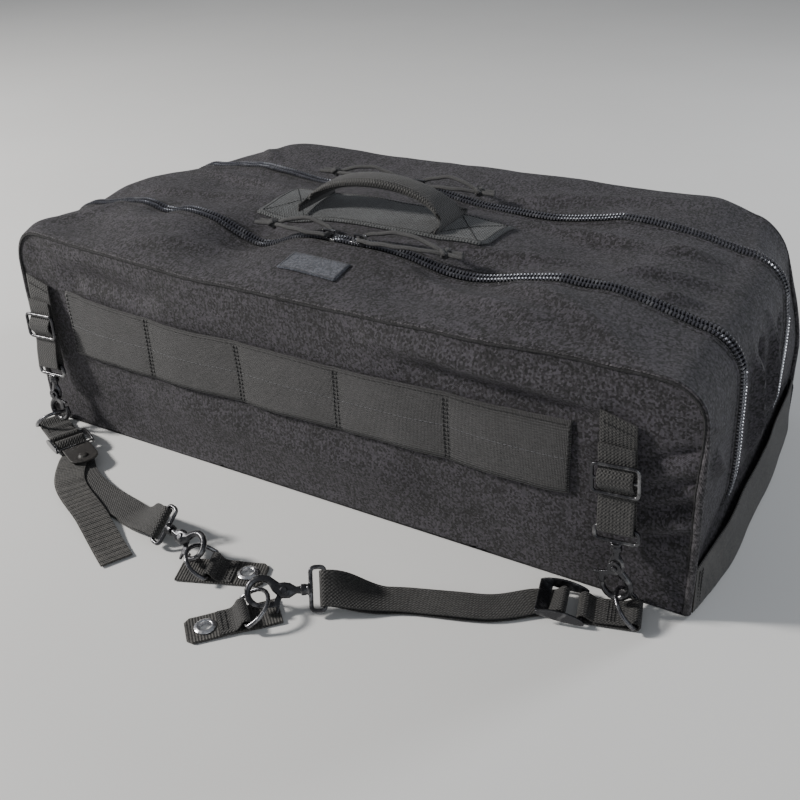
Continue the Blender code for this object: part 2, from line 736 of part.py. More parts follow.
def build_upper_chain(finish, side):
    place = upper_place(side)
    hook = upper_hook_place(side)
    pivot = place.origin
    add_object(side + "_short_strap", short_strap_mesh(place), finish["webbing"], pivot)
    add_object(side + "_triglide", triglide_mesh(place), finish["steel"], pivot)
    add_object(side + "_upper_eye", eye_mesh(hook), finish["steel"], pivot)
    add_object(side + "_upper_hook", hook_mesh(hook), finish["steel"], hook.origin)
    add_object(side + "_upper_trigger", trigger_mesh(hook), finish["steel"], hook.at(0, RIVET_W))


def end_ring_place(side):
    """Bar centre, bar direction and bow direction of the D-ring held in the upper hook."""
    offset, across, drop = END_RING_HOLD
    target = upper_hook_place(side).at(across, JAW_W) + Z * drop
    along = Vector(END_TAB_LINE[side]).normalized()
    bar = Z.cross(along).normalized()
    if bar.y < 0:
        bar = -bar
    reach = RING_LEG + RING_HALF * sin(acos(offset / RING_HALF))
    rise = (target.z - FLOOR_BAR) / reach
    bow = along * sqrt(1 - rise * rise) + Z * rise
    centre = target - bar * offset - bow * reach
    return centre, bar, bow


def lower_hook_place(side):
    """The lower hook lies rolled half on its side, its gate towards the front."""
    w = Vector(LOWER_LINE[side]).normalized()
    level = Z.cross(w)
    if level.y > 0:
        level = -level
    u = -level * cos(HOOK_ROLL) + Z * sin(HOOK_ROLL)
    n = level * sin(HOOK_ROLL) + Z * cos(HOOK_ROLL)
    return Place(Vector(LOWER_JAW[side]) - w * JAW_W, w, u, n, face=-1)


def center_ring_place(side):
    """Bar centre, bar direction and bow direction of the D-ring held in the lower hook."""
    offset, across, down = LOWER_HOLD[side]
    hook = lower_hook_place(side)
    target = hook.at(across, JAW_W + down)
    along = Vector(CENTER_TAB_LINE[side]).normalized()
    bar = Z.cross(along).normalized()
    reach = RING_LEG + RING_HALF * sin(acos(offset / RING_HALF))
    rise = (target.z - RAISED_BAR) / reach
    bow = Z * rise - along * sqrt(1 - rise * rise)
    return target - bar * offset - bow * reach, bar, bow


def tab_strip_mesh(centre, along):
    """Tab body with its eyelet hole and the loop that holds the D-ring's bar."""
    across = Z.cross(along).normalized()
    base = Vector((centre.x, centre.y, SEWN_GAP))
    half, cut = WEB_WIDTH / 2, 0.004
    outline = [(-TAB_BACK, -half), (TAB_FRONT - cut, -half), (TAB_FRONT, -half + cut),
               (TAB_FRONT, half - cut), (TAB_FRONT - cut, half), (-TAB_BACK, half)]
    strip = prism([base + along * a + across * b for a, b in outline], Z * TAB_THICK)
    strip = drill(strip, base + along * GROMMET_AT, Z, GROMMET_BORE + 0.0018)
    top = SEWN_GAP + TAB_THICK + WEB * 0.3
    path = [(0.0175, top), (0.0095, top), (0.0060, top + 0.0012)]
    for k in range(7):
        angle = pi * (0.1 + 0.85 * k / 6)
        path.append((TURN * cos(angle), RAISED_BAR + TURN * sin(angle)))
    path.append((-0.0036, top + 0.0004))
    points = [Vector((centre.x, centre.y, 0)) + along * a + Z * b for a, b in path]
    holder = sweep(points, ribbon(WEB_WIDTH - 0.001, WEB), across)
    return combine(strip, [holder])


def grommet_mesh(centre, along):
    middle = Vector((centre.x, centre.y, SEWN_GAP)) + along * GROMMET_AT
    top, rim, bore, barrel = TAB_THICK, 0.0085, GROMMET_BORE, GROMMET_BORE + 0.0012
    profile = [(bore, -0.0002), (bore, top + 0.0014), (barrel, top + 0.0018), (rim - 0.001, top + 0.0010),
               (rim, top + 0.0003), (barrel, top + 0.0003), (barrel, -0.0002)]
    return turned(profile, middle, Z, sides=16, closed=True)


def keeper_mesh(far, along):
    """Rounded tongue riveted to the strap beside the left adapter."""
    across = Z.cross(along).normalized()
    base = Vector((far.x, far.y, 0.0092)) + along * 0.0035
    half, length = 0.0125, 0.030
    outline = [(0, -half)]
    for k in range(9):
        angle = -pi / 2 + pi * k / 8
        outline.append((length - half * 0.7 + half * 0.7 * cos(angle), half * sin(angle)))
    outline.append((0, half))
    tongue = prism([base + along * a + across * b for a, b in outline], Z * 0.0018)
    rivet = turned([(0.0042, 0.0), (0.0040, 0.0015), (0.0025, 0.0022)],
                   base + along * (length - 0.010) + Z * 0.0012, Z, sides=12)
    return combine(tongue, [rivet])


def tail_mesh(start, along):
    """The free end of the left strap, lying on the strap and then beside it."""
    route = curve_through([start + along * 0.004] + TAIL_ROUTE, 5)
    path, sides = [], []
    for i, point in enumerate(route):
        ahead = route[min(i + 1, len(route) - 1)] - route[max(i - 1, 0)]
        ahead = Vector((ahead.x, ahead.y, 0)).normalized()
        share = i / (len(route) - 1)
        rise = 0.0020 * smooth_step(share / 0.12) - 0.0050 * smooth_step((share - 0.62) / 0.35)
        path.append(Vector((point.x, point.y, 0.0042 + rise)))
        sides.append(Z.cross(ahead))
    return sweep(path, ribbon(WEB_WIDTH, WEB), sides)


def build_lower_set(finish, side):
    steel, webbing = finish["steel"], finish["webbing"]
    ring_centre, ring_bar, ring_bow = end_ring_place(side)
    along = Vector(END_TAB_LINE[side]).normalized()
    near, middle, far = adapter_places(ring_centre + along * END_TAB_LENGTH, along)
    hook = lower_hook_place(side)
    roll = HOOK_ROLL if side == "left" else -HOOK_ROLL
    add_object(side + "_end_tab", loop_web_mesh([], ring_centre, near, 0.0, (0.009, 0.009)), webbing)
    add_object(side + "_end_ring", ring_mesh(ring_centre, ring_bar, ring_bow), steel, ring_centre)
    add_object(side + "_adapter_frame", adapter_mesh(near, far), steel)
    add_object(side + "_adapter_bar", adapter_bar_mesh(middle, along), steel, middle)
    route = [middle + along * LEAD] + STRAP_ROUTE[side] + [hook.origin - hook.w * LEAD]
    strap = loop_web_mesh(route, middle, hook.origin, roll, (0.010, 0.045))
    if side == "left":
        strap = combine(strap, [tail_mesh(far, along)])
        add_object("left_keeper", keeper_mesh(far, along), finish["piping"])
    add_object(side + "_lower_strap", strap, webbing)
    add_object(side + "_lower_eye", eye_mesh(hook), steel)
    add_object(side + "_lower_hook", hook_mesh(hook), steel, hook.origin)
    add_object(side + "_lower_trigger", trigger_mesh(hook), steel, hook.at(0, RIVET_W))
    bar_centre, bar, bow = center_ring_place(side)
    tab_along = Vector(CENTER_TAB_LINE[side]).normalized()
    add_object(side + "_center_tab", tab_strip_mesh(bar_centre, tab_along), webbing)
    add_object(side + "_center_ring", ring_mesh(bar_centre, bar, bow), steel, bar_centre)
    add_object(side + "_grommet", grommet_mesh(bar_centre, tab_along), finish["silver"])


def build():
    clear_scene()
    finish = make_finishes()
    build_bag(finish)
    build_sliders(finish)
    for side in ("left", "right"):
        build_upper_chain(finish, side)
        build_lower_set(finish, side)


build()
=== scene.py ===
"""Looks of the soft flight bag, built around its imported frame.

Metres, +X to the bag's right end, +Y to the back, +Z up.
"""
import bpy
import bmesh
from math import acos, ceil, cos, exp, pi, radians, sin, sqrt
from mathutils import Matrix, Vector, noise


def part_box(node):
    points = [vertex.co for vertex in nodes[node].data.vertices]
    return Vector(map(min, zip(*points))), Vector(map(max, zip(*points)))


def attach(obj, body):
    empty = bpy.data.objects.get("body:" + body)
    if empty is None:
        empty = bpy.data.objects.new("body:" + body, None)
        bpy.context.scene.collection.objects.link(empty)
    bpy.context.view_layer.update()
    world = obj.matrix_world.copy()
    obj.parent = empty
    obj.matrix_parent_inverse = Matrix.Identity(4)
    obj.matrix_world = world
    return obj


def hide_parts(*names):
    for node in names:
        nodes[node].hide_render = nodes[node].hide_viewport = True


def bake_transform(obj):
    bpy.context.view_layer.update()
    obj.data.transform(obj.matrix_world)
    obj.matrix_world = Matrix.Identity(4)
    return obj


# The cloth's unevenness is drawn from this seed, so that every run gives the same bag
CLOTH_SEED = 1794832298
noise.seed_set(CLOTH_SEED)

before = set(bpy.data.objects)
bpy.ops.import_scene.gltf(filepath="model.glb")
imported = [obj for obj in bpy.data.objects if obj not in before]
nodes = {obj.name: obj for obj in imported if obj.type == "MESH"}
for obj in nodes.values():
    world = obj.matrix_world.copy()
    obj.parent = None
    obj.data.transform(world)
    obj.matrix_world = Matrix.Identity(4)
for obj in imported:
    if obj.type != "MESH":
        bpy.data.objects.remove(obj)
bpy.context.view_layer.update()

X = Vector((1, 0, 0))
Y = Vector((0, 1, 0))
Z = Vector((0, 0, 1))

# ------------------------------------------------------------------ sizes, read from the frame

tray_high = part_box("lower_tray")[1]
band_low, band_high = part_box("center_band")
strip_low, strip_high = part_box("attachment_webbing")
patch_low, patch_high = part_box("handle_base")
label_low, label_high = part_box("label")

HALF_DEPTH = tray_high.y
END_BULGE = 0.014
CROWN = 0.012
HALF_LENGTH = tray_high.x - END_BULGE
SEAM_Z = band_high.z - CROWN
CORNER = 0.030
TRAY_TOP = tray_high.z
ZIP_HALF = 0.0055
FRONT_ZIP = band_low.y - ZIP_HALF - 0.0005
REAR_ZIP = band_high.y + ZIP_HALF + 0.0005
CLOTH = 0.0022
CELL = 0.0036
SOLE_Z = 0.0008
SIDES = ("left", "right")


def smooth(value, start=0.0, stop=1.0):
    """A soft step from 0 at start to 1 at stop."""
    share = min(1.0, max(0.0, (value - start) / (stop - start)))
    return share * share * (3 - 2 * share)


def bump(value, centre, width):
    return exp(-((value - centre) / width) ** 2)


# ------------------------------------------------------------------ the bag's soft surface

def fullness(y):
    return 1 - abs(y / HALF_DEPTH) ** 4


def end_x(y):
    return HALF_LENGTH + END_BULGE * fullness(y)


def top_z(y):
    return SEAM_Z + CROWN * fullness(y)


# Hollows and swellings of the slack top: x, y, half widths in x and y, height
TOP_SHAPES = [
    (-0.100, -0.070, 0.036, 0.050, -0.0120), (0.098, -0.070, 0.050, 0.046, -0.0095),
    (-0.200, -0.085, 0.060, 0.045, 0.0050), (0.215, -0.090, 0.060, 0.045, 0.0040),
    (0.040, 0.080, 0.050, 0.040, -0.0050), (0.105, 0.060, 0.045, 0.050, -0.0075),
    (-0.125, 0.085, 0.040, 0.040, -0.0060), (0.160, 0.010, 0.040, 0.045, -0.0065),
    (-0.190, 0.020, 0.050, 0.050, -0.0055), (0.235, 0.035, 0.040, 0.050, 0.0030),
    (0.060, -0.112, 0.045, 0.022, -0.0030), (-0.235, -0.125, 0.040, 0.025, -0.0045),
    (0.150, 0.125, 0.055, 0.025, -0.0040), (-0.060, 0.125, 0.060, 0.022, -0.0035),
]

# Creases: start, end, half width, height, and the direction that they stand out in
CREASE_GAIN = 2.3
HOLLOW_GAIN = 1.45
CREASES = [
    ((0.264, -0.150, 0.116), (0.303, -0.150, 0.134), 0.0036, -0.0022, -Y),
    ((0.264, -0.150, 0.093), (0.303, -0.150, 0.110), 0.0034, -0.0020, -Y),
    ((0.258, -0.150, 0.073), (0.303, -0.150, 0.093), 0.0038, -0.0026, -Y),
    ((0.258, -0.150, 0.052), (0.303, -0.150, 0.066), 0.0036, -0.0022, -Y),
    ((0.264, -0.150, 0.105), (0.303, -0.150, 0.122), 0.0050, 0.0014, -Y),
    ((0.262, -0.150, 0.062), (0.303, -0.150, 0.080), 0.0055, 0.0018, -Y),
    ((0.060, -0.150, 0.165), (0.235, -0.150, 0.150), 0.0080, 0.0028, -Y),
    ((0.090, -0.150, 0.146), (0.240, -0.150, 0.138), 0.0070, -0.0022, -Y),
    ((-0.285, -0.150, 0.160), (-0.235, -0.150, 0.140), 0.0100, -0.0036, -Y),
    ((-0.235, -0.150, 0.150), (-0.150, -0.150, 0.148), 0.0090, -0.0024, -Y),
    ((-0.170, -0.150, 0.055), (0.080, -0.150, 0.046), 0.0160, 0.0024, -Y),
    ((0.305, -0.140, 0.150), (0.312, -0.100, 0.136), 0.0060, 0.0026, X),
    ((0.312, -0.125, 0.118), (0.316, -0.098, 0.090), 0.0060, 0.0024, X),
    ((0.314, -0.030, 0.165), (0.318, -0.012, 0.060), 0.0060, 0.0048, X),
    ((0.314, 0.020, 0.170), (0.319, 0.030, 0.070), 0.0055, 0.0044, X),
    ((0.319, -0.006, 0.160), (0.319, 0.008, 0.060), 0.0060, -0.0040, X),
    ((0.316, 0.055, 0.150), (0.318, 0.045, 0.060), 0.0060, -0.0030, X),
    ((0.235, -0.045, 0.192), (0.300, -0.020, 0.182), 0.0055, 0.0034, Z),
    ((0.200, -0.020, 0.192), (0.298, 0.012, 0.184), 0.0060, 0.0030, Z),
    ((0.215, 0.030, 0.192), (0.300, 0.045, 0.182), 0.0060, 0.0028, Z),
    ((0.060, -0.030, 0.192), (0.180, -0.020, 0.192), 0.0080, 0.0024, Z),
    ((0.075, 0.055, 0.192), (0.200, 0.035, 0.192), 0.0080, 0.0026, Z),
    ((0.140, -0.078, 0.190), (0.262, -0.140, 0.176), 0.0085, 0.0030, Z),
    ((0.050, -0.080, 0.190), (0.180, -0.125, 0.186), 0.0085, 0.0022, Z),
    ((-0.060, -0.080, 0.190), (-0.180, -0.130, 0.186), 0.0090, 0.0020, Z),
    ((-0.250, -0.070, 0.190), (-0.290, -0.135, 0.176), 0.0080, 0.0028, Z),
    ((-0.140, 0.000, 0.192), (-0.270, -0.030, 0.190), 0.0075, 0.0026, Z),
    ((-0.150, 0.040, 0.192), (-0.280, 0.050, 0.188), 0.0075, 0.0024, Z),
    ((-0.200, 0.095, 0.190), (-0.280, 0.135, 0.176), 0.0075, 0.0024, Z),
    ((0.060, 0.100, 0.190), (0.200, 0.130, 0.184), 0.0080, 0.0022, Z),
    ((-0.315, -0.110, 0.150), (-0.318, -0.040, 0.090), 0.0065, 0.0038, -X),
    ((-0.318, 0.010, 0.160), (-0.319, 0.000, 0.060), 0.0060, 0.0044, -X),
    ((-0.317, 0.060, 0.150), (-0.318, 0.050, 0.060), 0.0060, 0.0036, -X),
    ((0.240, 0.150, 0.150), (0.290, 0.150, 0.110), 0.0070, 0.0034, Y),
    ((-0.100, 0.150, 0.150), (0.100, 0.150, 0.140), 0.0110, 0.0028, Y),
    ((-0.290, 0.150, 0.120), (-0.240, 0.150, 0.100), 0.0070, 0.0036, Y),
]

# Slow to quick unevenness of the cloth: waves for each metre, shift and depth
RIPPLES = [(8.0, (0, 0, 0), 0.0022), (21.0, (7, 3, 1), 0.0011), (52.0, (1, 9, 4), 0.00035)]

# How far the filling pushes each wall out, and how far parts of the bag sink, swell or are pulled in
FRONT_BELLY, BACK_BELLY, END_BELLY = 0.0024, 0.0090, 0.0040
RIGHT_END_IN, RIGHT_END_DOWN, RIGHT_FOOT_IN = 0.018, 0.017, 0.011
LEFT_CORNER_IN, LEFT_CORNER_DOWN = 0.030, 0.005
RIGHT_CORNER_IN, RIGHT_CORNER_DOWN = 0.022, 0.006
LEFT_FRONT_UP, LEFT_END_DOWN = 0.011, 0.007
STUFFING_UP, STUFFING_OUT = 0.011, 0.008

# Where sliders rest and stop, the tops of the zips keep their height
SLIDER_STOPS = [(-0.030, FRONT_ZIP), (-0.001, FRONT_ZIP), (-0.200, FRONT_ZIP), (0.189, FRONT_ZIP),
                (-0.052, REAR_ZIP), (-0.026, REAR_ZIP), (-0.202, REAR_ZIP), (0.174, REAR_ZIP)]


def crease_offset(p):
    total = Vector()
    for start, stop, width, height, way in CREASES:
        a = Vector(start)
        along = Vector(stop) - a
        share = (p - a).dot(along) / along.length_squared
        if not -0.25 < share < 1.25:
            continue
        gap = (p - a - along * min(1.0, max(0.0, share))).length
        if gap < width * 3.2:
            window = smooth(share, -0.2, 0.25) * (1 - smooth(share, 0.75, 1.2))
            total += way * (CREASE_GAIN * height * window * exp(-(gap / width) ** 2))
    return total


def drawn_in(p):
    """How far the right end's foot is pulled in by its handle."""
    return RIGHT_FOOT_IN * fullness(p.y) * smooth(p.x, 0.235, 0.305)


def soft(p):
    """The cloth's offset from the stiff shape at a point of that shape."""
    high = smooth(p.z, 0.120, 0.172)
    free = smooth(p.z, 0.004, 0.030)
    offset = Vector()
    for x, y, wide, deep, height in TOP_SHAPES:
        offset.z += HOLLOW_GAIN * height * high * exp(-((p.x - x) / wide) ** 2 - ((p.y - y) / deep) ** 2)
    level = (p.z - 0.09) / 0.09
    belly = max(0.0, 1 - level * level)
    across = max(0.0, 1 - (p.x / HALF_LENGTH) ** 2)
    front = smooth(-p.y, 0.118, 0.149)
    back = smooth(p.y, 0.118, 0.149)
    offset.y -= FRONT_BELLY * belly * across * front
    offset.y += BACK_BELLY * belly * across * back
    end = smooth(abs(p.x), 0.285, 0.305)
    side = 1 if p.x > 0 else -1
    offset.x += side * END_BELLY * end * belly * fullness(p.y) * smooth(p.z, 0.03, 0.06)
    full = fullness(p.y)
    offset.x -= RIGHT_END_IN * full * smooth(p.x, 0.235, 0.305) * smooth(p.z, 0.004, 0.040)
    offset.z -= RIGHT_END_DOWN * full * smooth(p.x, 0.165, 0.300) * high
    corner = smooth(-p.x, 0.190, 0.300) * smooth(p.y, -0.030, 0.110) * smooth(p.z, 0.040, 0.170)
    offset.x += LEFT_CORNER_IN * corner
    offset.z -= LEFT_CORNER_DOWN * corner
    corner = smooth(p.x, 0.200, 0.305) * smooth(p.y, 0.060, 0.150) * smooth(p.z, 0.060, 0.180)
    offset.x -= RIGHT_CORNER_IN * corner
    offset.z -= RIGHT_CORNER_DOWN * corner
    raised = smooth(-p.x, 0.120, 0.295) * smooth(-p.y, 0.070, 0.149)
    offset.z += LEFT_FRONT_UP * raised * smooth(p.z, 0.090, 0.165)
    offset.z -= LEFT_END_DOWN * high * smooth(-p.x, 0.215, 0.300) * full * smooth(-p.y, -0.020, 0.060)
    stuffed = smooth(p.y, 0.086, 0.149) * smooth(p.z, 0.040, 0.150)
    offset.z += STUFFING_UP * stuffed * high * (1 - 0.8 * smooth(abs(p.x), 0.220, 0.295))
    offset.y += STUFFING_OUT * stuffed
    offset += crease_offset(p)
    for waves, shift, depth in RIPPLES:
        offset += noise.noise_vector(p * waves + Vector(shift)) * depth
    still = 0.0
    for x, y in SLIDER_STOPS:
        still = max(still, bump(p.x, x, 0.016) * bump(p.y, y, 0.018) * high)
    offset.z *= 1 - min(1.0, still * 1.25)
    offset.z -= 0.0006 * still
    offset.y *= 1 - 0.7 * front * bump(abs(p.x), 0.268, 0.022)
    return offset * free - X * (drawn_in(p) * (1 - free))


def hoop_points(y, low, inset=0.0, step=CELL):
    """Points and outward directions up the right end, over the top and down the left end."""
    x, z = end_x(y) - inset, top_z(y) - inset
    radius = max(CORNER - inset, 0.004)
    rise = top_z(0) - radius - low
    rows = max(2, ceil(rise / step))
    flat = ceil((HALF_LENGTH - CORNER) / step)
    right = [(x, low + (z - radius - low) * k / rows, 1.0, 0.0) for k in range(rows)]
    turns = ceil(CORNER * 0.5 * pi / step) + 2
    for k in range(turns + 1):
        angle = 0.5 * pi * k / turns
        right.append((x - radius + radius * cos(angle), z - radius + radius * sin(angle),
                      cos(angle), sin(angle)))
    right += [((x - radius) * (1 - k / flat), z, 0.0, 1.0) for k in range(1, flat + 1)]
    left = [(-a, b, -c, d) for a, b, c, d in reversed(right[:-1])]
    return [(Vector((a, y, b)), Vector((c, 0, d))) for a, b, c, d in right + left]


def on_hoop(y, low, lift=0.0, step=CELL, inset=0.0):
    """The soft surface's points along one hoop."""
    return [p + soft(p) + out * lift for p, out in hoop_points(y, low, inset, step)]


def softened(points):
    return [p + soft(p) for p in points]


def nearest_top(x, y, lift):
    p = Vector((x, y, top_z(y)))
    return p + soft(p) + Z * lift


def front_point(x, z, lift, y=-HALF_DEPTH):
    p = Vector((x, y, z))
    return p + soft(p) + Vector((0, -lift if y < 0 else lift, 0))


# ------------------------------------------------------------------ mesh helpers

def new_object(name, mesh, material, smooth_angle=0.7):
    mesh.shade_smooth()
    mesh.set_sharp_from_angle(angle=smooth_angle)
    mesh.materials.append(material)
    made = bpy.data.objects.new(name, mesh)
    bpy.context.scene.collection.objects.link(made)
    return made


def add_grid(work, rows, closed_rows=False, closed_columns=False, flip=False, u_at=None):
    """Quads over rows of points, with UVs in metres along and across them, or u as given in u_at."""
    layer = work.loops.layers.uv.verify()
    made = [[work.verts.new(p) for p in row] for row in rows]
    along = [list(u_at) if u_at else [0.0] for row in rows]
    for row, lengths in zip(rows, along):
        if u_at:
            continue
        for a, b in zip(row, row[1:] + row[:1]):
            lengths.append(lengths[-1] + (b - a).length)
    across = [0.0]
    middle = len(rows[0]) // 2
    for a, b in zip(rows, rows[1:] + rows[:1]):
        across.append(across[-1] + (b[middle] - a[middle]).length)
    count, columns = len(rows), len(rows[0])
    for j in range(count if closed_rows else count - 1):
        for i in range(columns if closed_columns else columns - 1):
            jn, im = (j + 1) % count, (i + 1) % columns
            corners = [(j, i, j, i), (j, im, j, i + 1), (jn, im, j + 1, i + 1), (jn, i, j + 1, i)]
            if flip:
                corners.reverse()
            face = work.faces.new([made[r][c] for r, c, vr, uc in corners])
            for loop, (r, c, vr, uc) in zip(face.loops, corners):
                loop[layer].uv = (along[r][uc], across[vr])
    return made


def finish_mesh(work, name):
    mesh = bpy.data.meshes.new(name)
    work.to_mesh(mesh)
    work.free()
    return mesh


def grid_object(name, rows, material, **options):
    work = bmesh.new()
    add_grid(work, rows, **options)
    return new_object(name, finish_mesh(work, name), material)


def thicken(piece, thickness, offset=-1.0):
    shell = piece.modifiers.new("thickness", "SOLIDIFY")
    shell.thickness = thickness
    shell.offset = offset
    shell.use_even_offset = False
    return piece


def sweep_mesh(path, section, sides, closed=False, scales=None, flat=False):
    """Carry a closed section along a path, with UVs in metres: round it, or across it if flat."""
    path = [Vector(p) for p in path]
    if isinstance(sides, Vector):
        sides = [sides] * len(path)
    rows = []
    for i, point in enumerate(path):
        before = path[i - 1] if i or closed else point
        after = path[(i + 1) % len(path)] if i + 1 < len(path) or closed else point
        tangent = (after - before).normalized()
        side = (sides[i] - tangent * sides[i].dot(tangent)).normalized()
        normal = tangent.cross(side)
        wide, thick = scales[i] if scales else (1.0, 1.0)
        rows.append([point + side * (a * wide) + normal * (b * thick) for a, b in section])
    work = bmesh.new()
    wide = max(a for a, b in section)
    u_at = [a + wide for a, b in section] + [section[0][0] + wide] if flat else None
    made = add_grid(work, rows, closed_rows=closed, closed_columns=True, u_at=u_at)
    if not closed:
        work.faces.new(made[0][::-1])
        work.faces.new(made[-1])
    bmesh.ops.recalc_face_normals(work, faces=work.faces[:])
    return finish_mesh(work, "sweep")


def disc(radius, sides=12):
    return [(radius * cos(2 * pi * k / sides), radius * sin(2 * pi * k / sides)) for k in range(sides)]


def webbing_section(width, thickness, columns=10):
    """Flat webbing with rounded selvedges; the outline starts at one edge."""
    h, r = width / 2, thickness / 2
    top = [(-h + 0.0006 + (width - 0.0012) * k / columns, r) for k in range(columns + 1)]
    edge = [(h - 0.0001, r * 0.55), (h, 0.0), (h - 0.0001, -r * 0.55)]
    bottom = [(a, -b) for a, b in reversed(top)]
    other = [(-a, -b) for a, b in edge]
    return top + edge + bottom + other


def curve_through(points, steps):
    """A Catmull-Rom curve through a few points."""
    points = [Vector(p) for p in points]
    ends = [points[0] * 2 - points[1]] + points + [points[-1] * 2 - points[-2]]
    result = []
    for i in range(len(points) - 1):
        p0, p1, p2, p3 = ends[i:i + 4]
        for k in range(steps):
            t = k / steps
            result.append(0.5 * (p1 * 2 + (p2 - p0) * t + (p0 * 2 - p1 * 5 + p2 * 4 - p3) * t * t
                                 + (p1 * 3 - p0 - p2 * 3 + p3) * t ** 3))
    result.append(points[-1])
    return result


def join_meshes(meshes, name):
    """One mesh from several, keeping their UVs."""
    work = bmesh.new()
    for mesh in meshes:
        work.from_mesh(mesh)
    return finish_mesh(work, name)


def place(piece, body, slot, *replaced):
    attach(piece, body)
    if replaced:
        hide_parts(*replaced)
    return piece


def stitches(name, line, outs, body, spacing=0.0032, length=0.0024, radius=0.00028, finish="thread"):
    """A row of sewn stitches along a line, each a short rounded bar that dips into the cloth."""
    if isinstance(outs, Vector):
        outs = [outs] * len(line)
    lengths = [0.0]
    for a, b in zip(line, line[1:]):
        lengths.append(lengths[-1] + (b - a).length)
    meshes = []
    position, index = spacing / 2, 0
    section = disc(radius, 6)
    while position + length / 2 < lengths[-1]:
        ends = []
        for place_at in (position - length / 2, position, position + length / 2):
            while index < len(lengths) - 2 and lengths[index + 1] < place_at:
                index += 1
            while index and lengths[index] > place_at:
                index -= 1
            share = (place_at - lengths[index]) / max(lengths[index + 1] - lengths[index], 1e-9)
            ends.append((line[index].lerp(line[index + 1], share), outs[index]))
        (a, out), (b, _), (c, _) = ends
        side = (c - a).cross(out)
        meshes.append(sweep_mesh([a - out * radius * 0.6, b + out * radius * 0.9, c - out * radius * 0.6],
                                 section, side.normalized()))
        position += spacing
    piece = new_object(name, join_meshes(meshes, name), MATERIALS[finish])
    return place(piece, body, "piping")


# ------------------------------------------------------------------ materials

def add_node(tree, kind, inputs=None, **settings):
    made = tree.nodes.new(kind)
    for key, value in settings.items():
        setattr(made, key, value)
    for key, value in (inputs or {}).items():
        if isinstance(value, bpy.types.NodeSocket):
            tree.links.new(value, made.inputs[key])
        else:
            made.inputs[key].default_value = value
    return made


def maths(tree, operation, first, second=0.0):
    return add_node(tree, "ShaderNodeMath", {0: first, 1: second}, operation=operation).outputs[0]


def total(tree, first, *others):
    for other in others:
        first = maths(tree, "ADD", first, other)
    return first


def times(tree, first, second):
    return maths(tree, "MULTIPLY", first, second)


def wave(tree, value, pitch):
    """A sine of the given pitch in metres, from -1 to 1."""
    turned = times(tree, value, 2 * pi / pitch)
    return maths(tree, "SINE", maths(tree, "ADD", turned, 0.0))


def mottled(tree, where, scale, detail=2.0):
    inputs = {"Vector": where, "Scale": scale, "Detail": detail}
    return add_node(tree, "ShaderNodeTexNoise", inputs).outputs[0]


def speckled(tree, where, scale):
    """Small cells, each of its own random shade from 0 to 1."""
    return add_node(tree, "ShaderNodeTexVoronoi", {"Vector": where, "Scale": scale}).outputs["Color"]


def blend_colours(tree, factor, dark, light):
    mix = add_node(tree, "ShaderNodeMix", {0: factor, 6: (*dark, 1), 7: (*light, 1)}, data_type="RGBA")
    return mix.outputs[2]


def ranged(tree, value, low, high, out_low=0.0, out_high=1.0):
    made = add_node(tree, "ShaderNodeMapRange", {0: value, 1: low, 2: high, 3: out_low, 4: out_high})
    return made.outputs[0]


def link_colour(tree, shader, factor, dark, light):
    tree.links.new(blend_colours(tree, factor, dark, light), shader.inputs["Base Color"])


def link_roughness(tree, shader, grain, low_grain, high_grain):
    """Roughness that follows the grain, given where the grain is low and where it is high."""
    tree.links.new(ranged(tree, grain, 0.3, 0.7, low_grain, high_grain), shader.inputs["Roughness"])


def start_material(name, roughness, metallic=0.0):
    made = bpy.data.materials.new(name)
    made.use_nodes = True
    tree = made.node_tree
    shader = tree.nodes["Principled BSDF"]
    shader.inputs["Roughness"].default_value = roughness
    shader.inputs["Metallic"].default_value = metallic
    position = add_node(tree, "ShaderNodeTexCoord").outputs["Object"]
    return made, tree, shader, position


def set_bump(tree, shader, height, distance, strength=1.0):
    made = add_node(tree, "ShaderNodeBump", {"Height": height, "Distance": distance, "Strength": strength})
    tree.links.new(made.outputs[0], shader.inputs["Normal"])


def uv_parts(tree):
    uv = add_node(tree, "ShaderNodeUVMap").outputs[0]
    split = add_node(tree, "ShaderNodeSeparateXYZ", {0: uv})
    return split.outputs[0], split.outputs[1]


def cloth_material(name, dark, light, pitch=0.0011, twill=0.0, sheen=0.25, roughness=0.72, grain=640.0):
    """Plain or twill woven nylon: yarns over and under, flecks, and slow changes of shade."""
    made, tree, shader, position = start_material(name, roughness)
    u, v = uv_parts(tree)
    if twill:
        yarns = wave(tree, total(tree, u, times(tree, v, twill)), pitch)
    else:
        yarns = times(tree, wave(tree, u, pitch), wave(tree, v, pitch))
    flecks = mottled(tree, position, grain, 1.0)
    shade = mottled(tree, position, 26.0, 4.0)
    ribs = times(tree, wave(tree, u, 0.0031), mottled(tree, position, 55.0, 1.0))
    height = total(tree, yarns, times(tree, flecks, 3.0))
    cells = ranged(tree, speckled(tree, position, grain), 0.0, 1.0, -0.55, 1.25)
    patches = total(tree, cells, ranged(tree, shade, 0.35, 0.65, -0.08, 0.16))
    tone = total(tree, times(tree, yarns, 0.10), patches, times(tree, ribs, 0.22))
    link_colour(tree, shader, tone, dark, light)
    link_roughness(tree, shader, flecks, roughness + 0.12, roughness - 0.10)
    shader.inputs["Sheen Weight"].default_value = sheen
    shader.inputs["Sheen Roughness"].default_value = 0.45
    set_bump(tree, shader, height, 0.00022, 0.8)
    return made


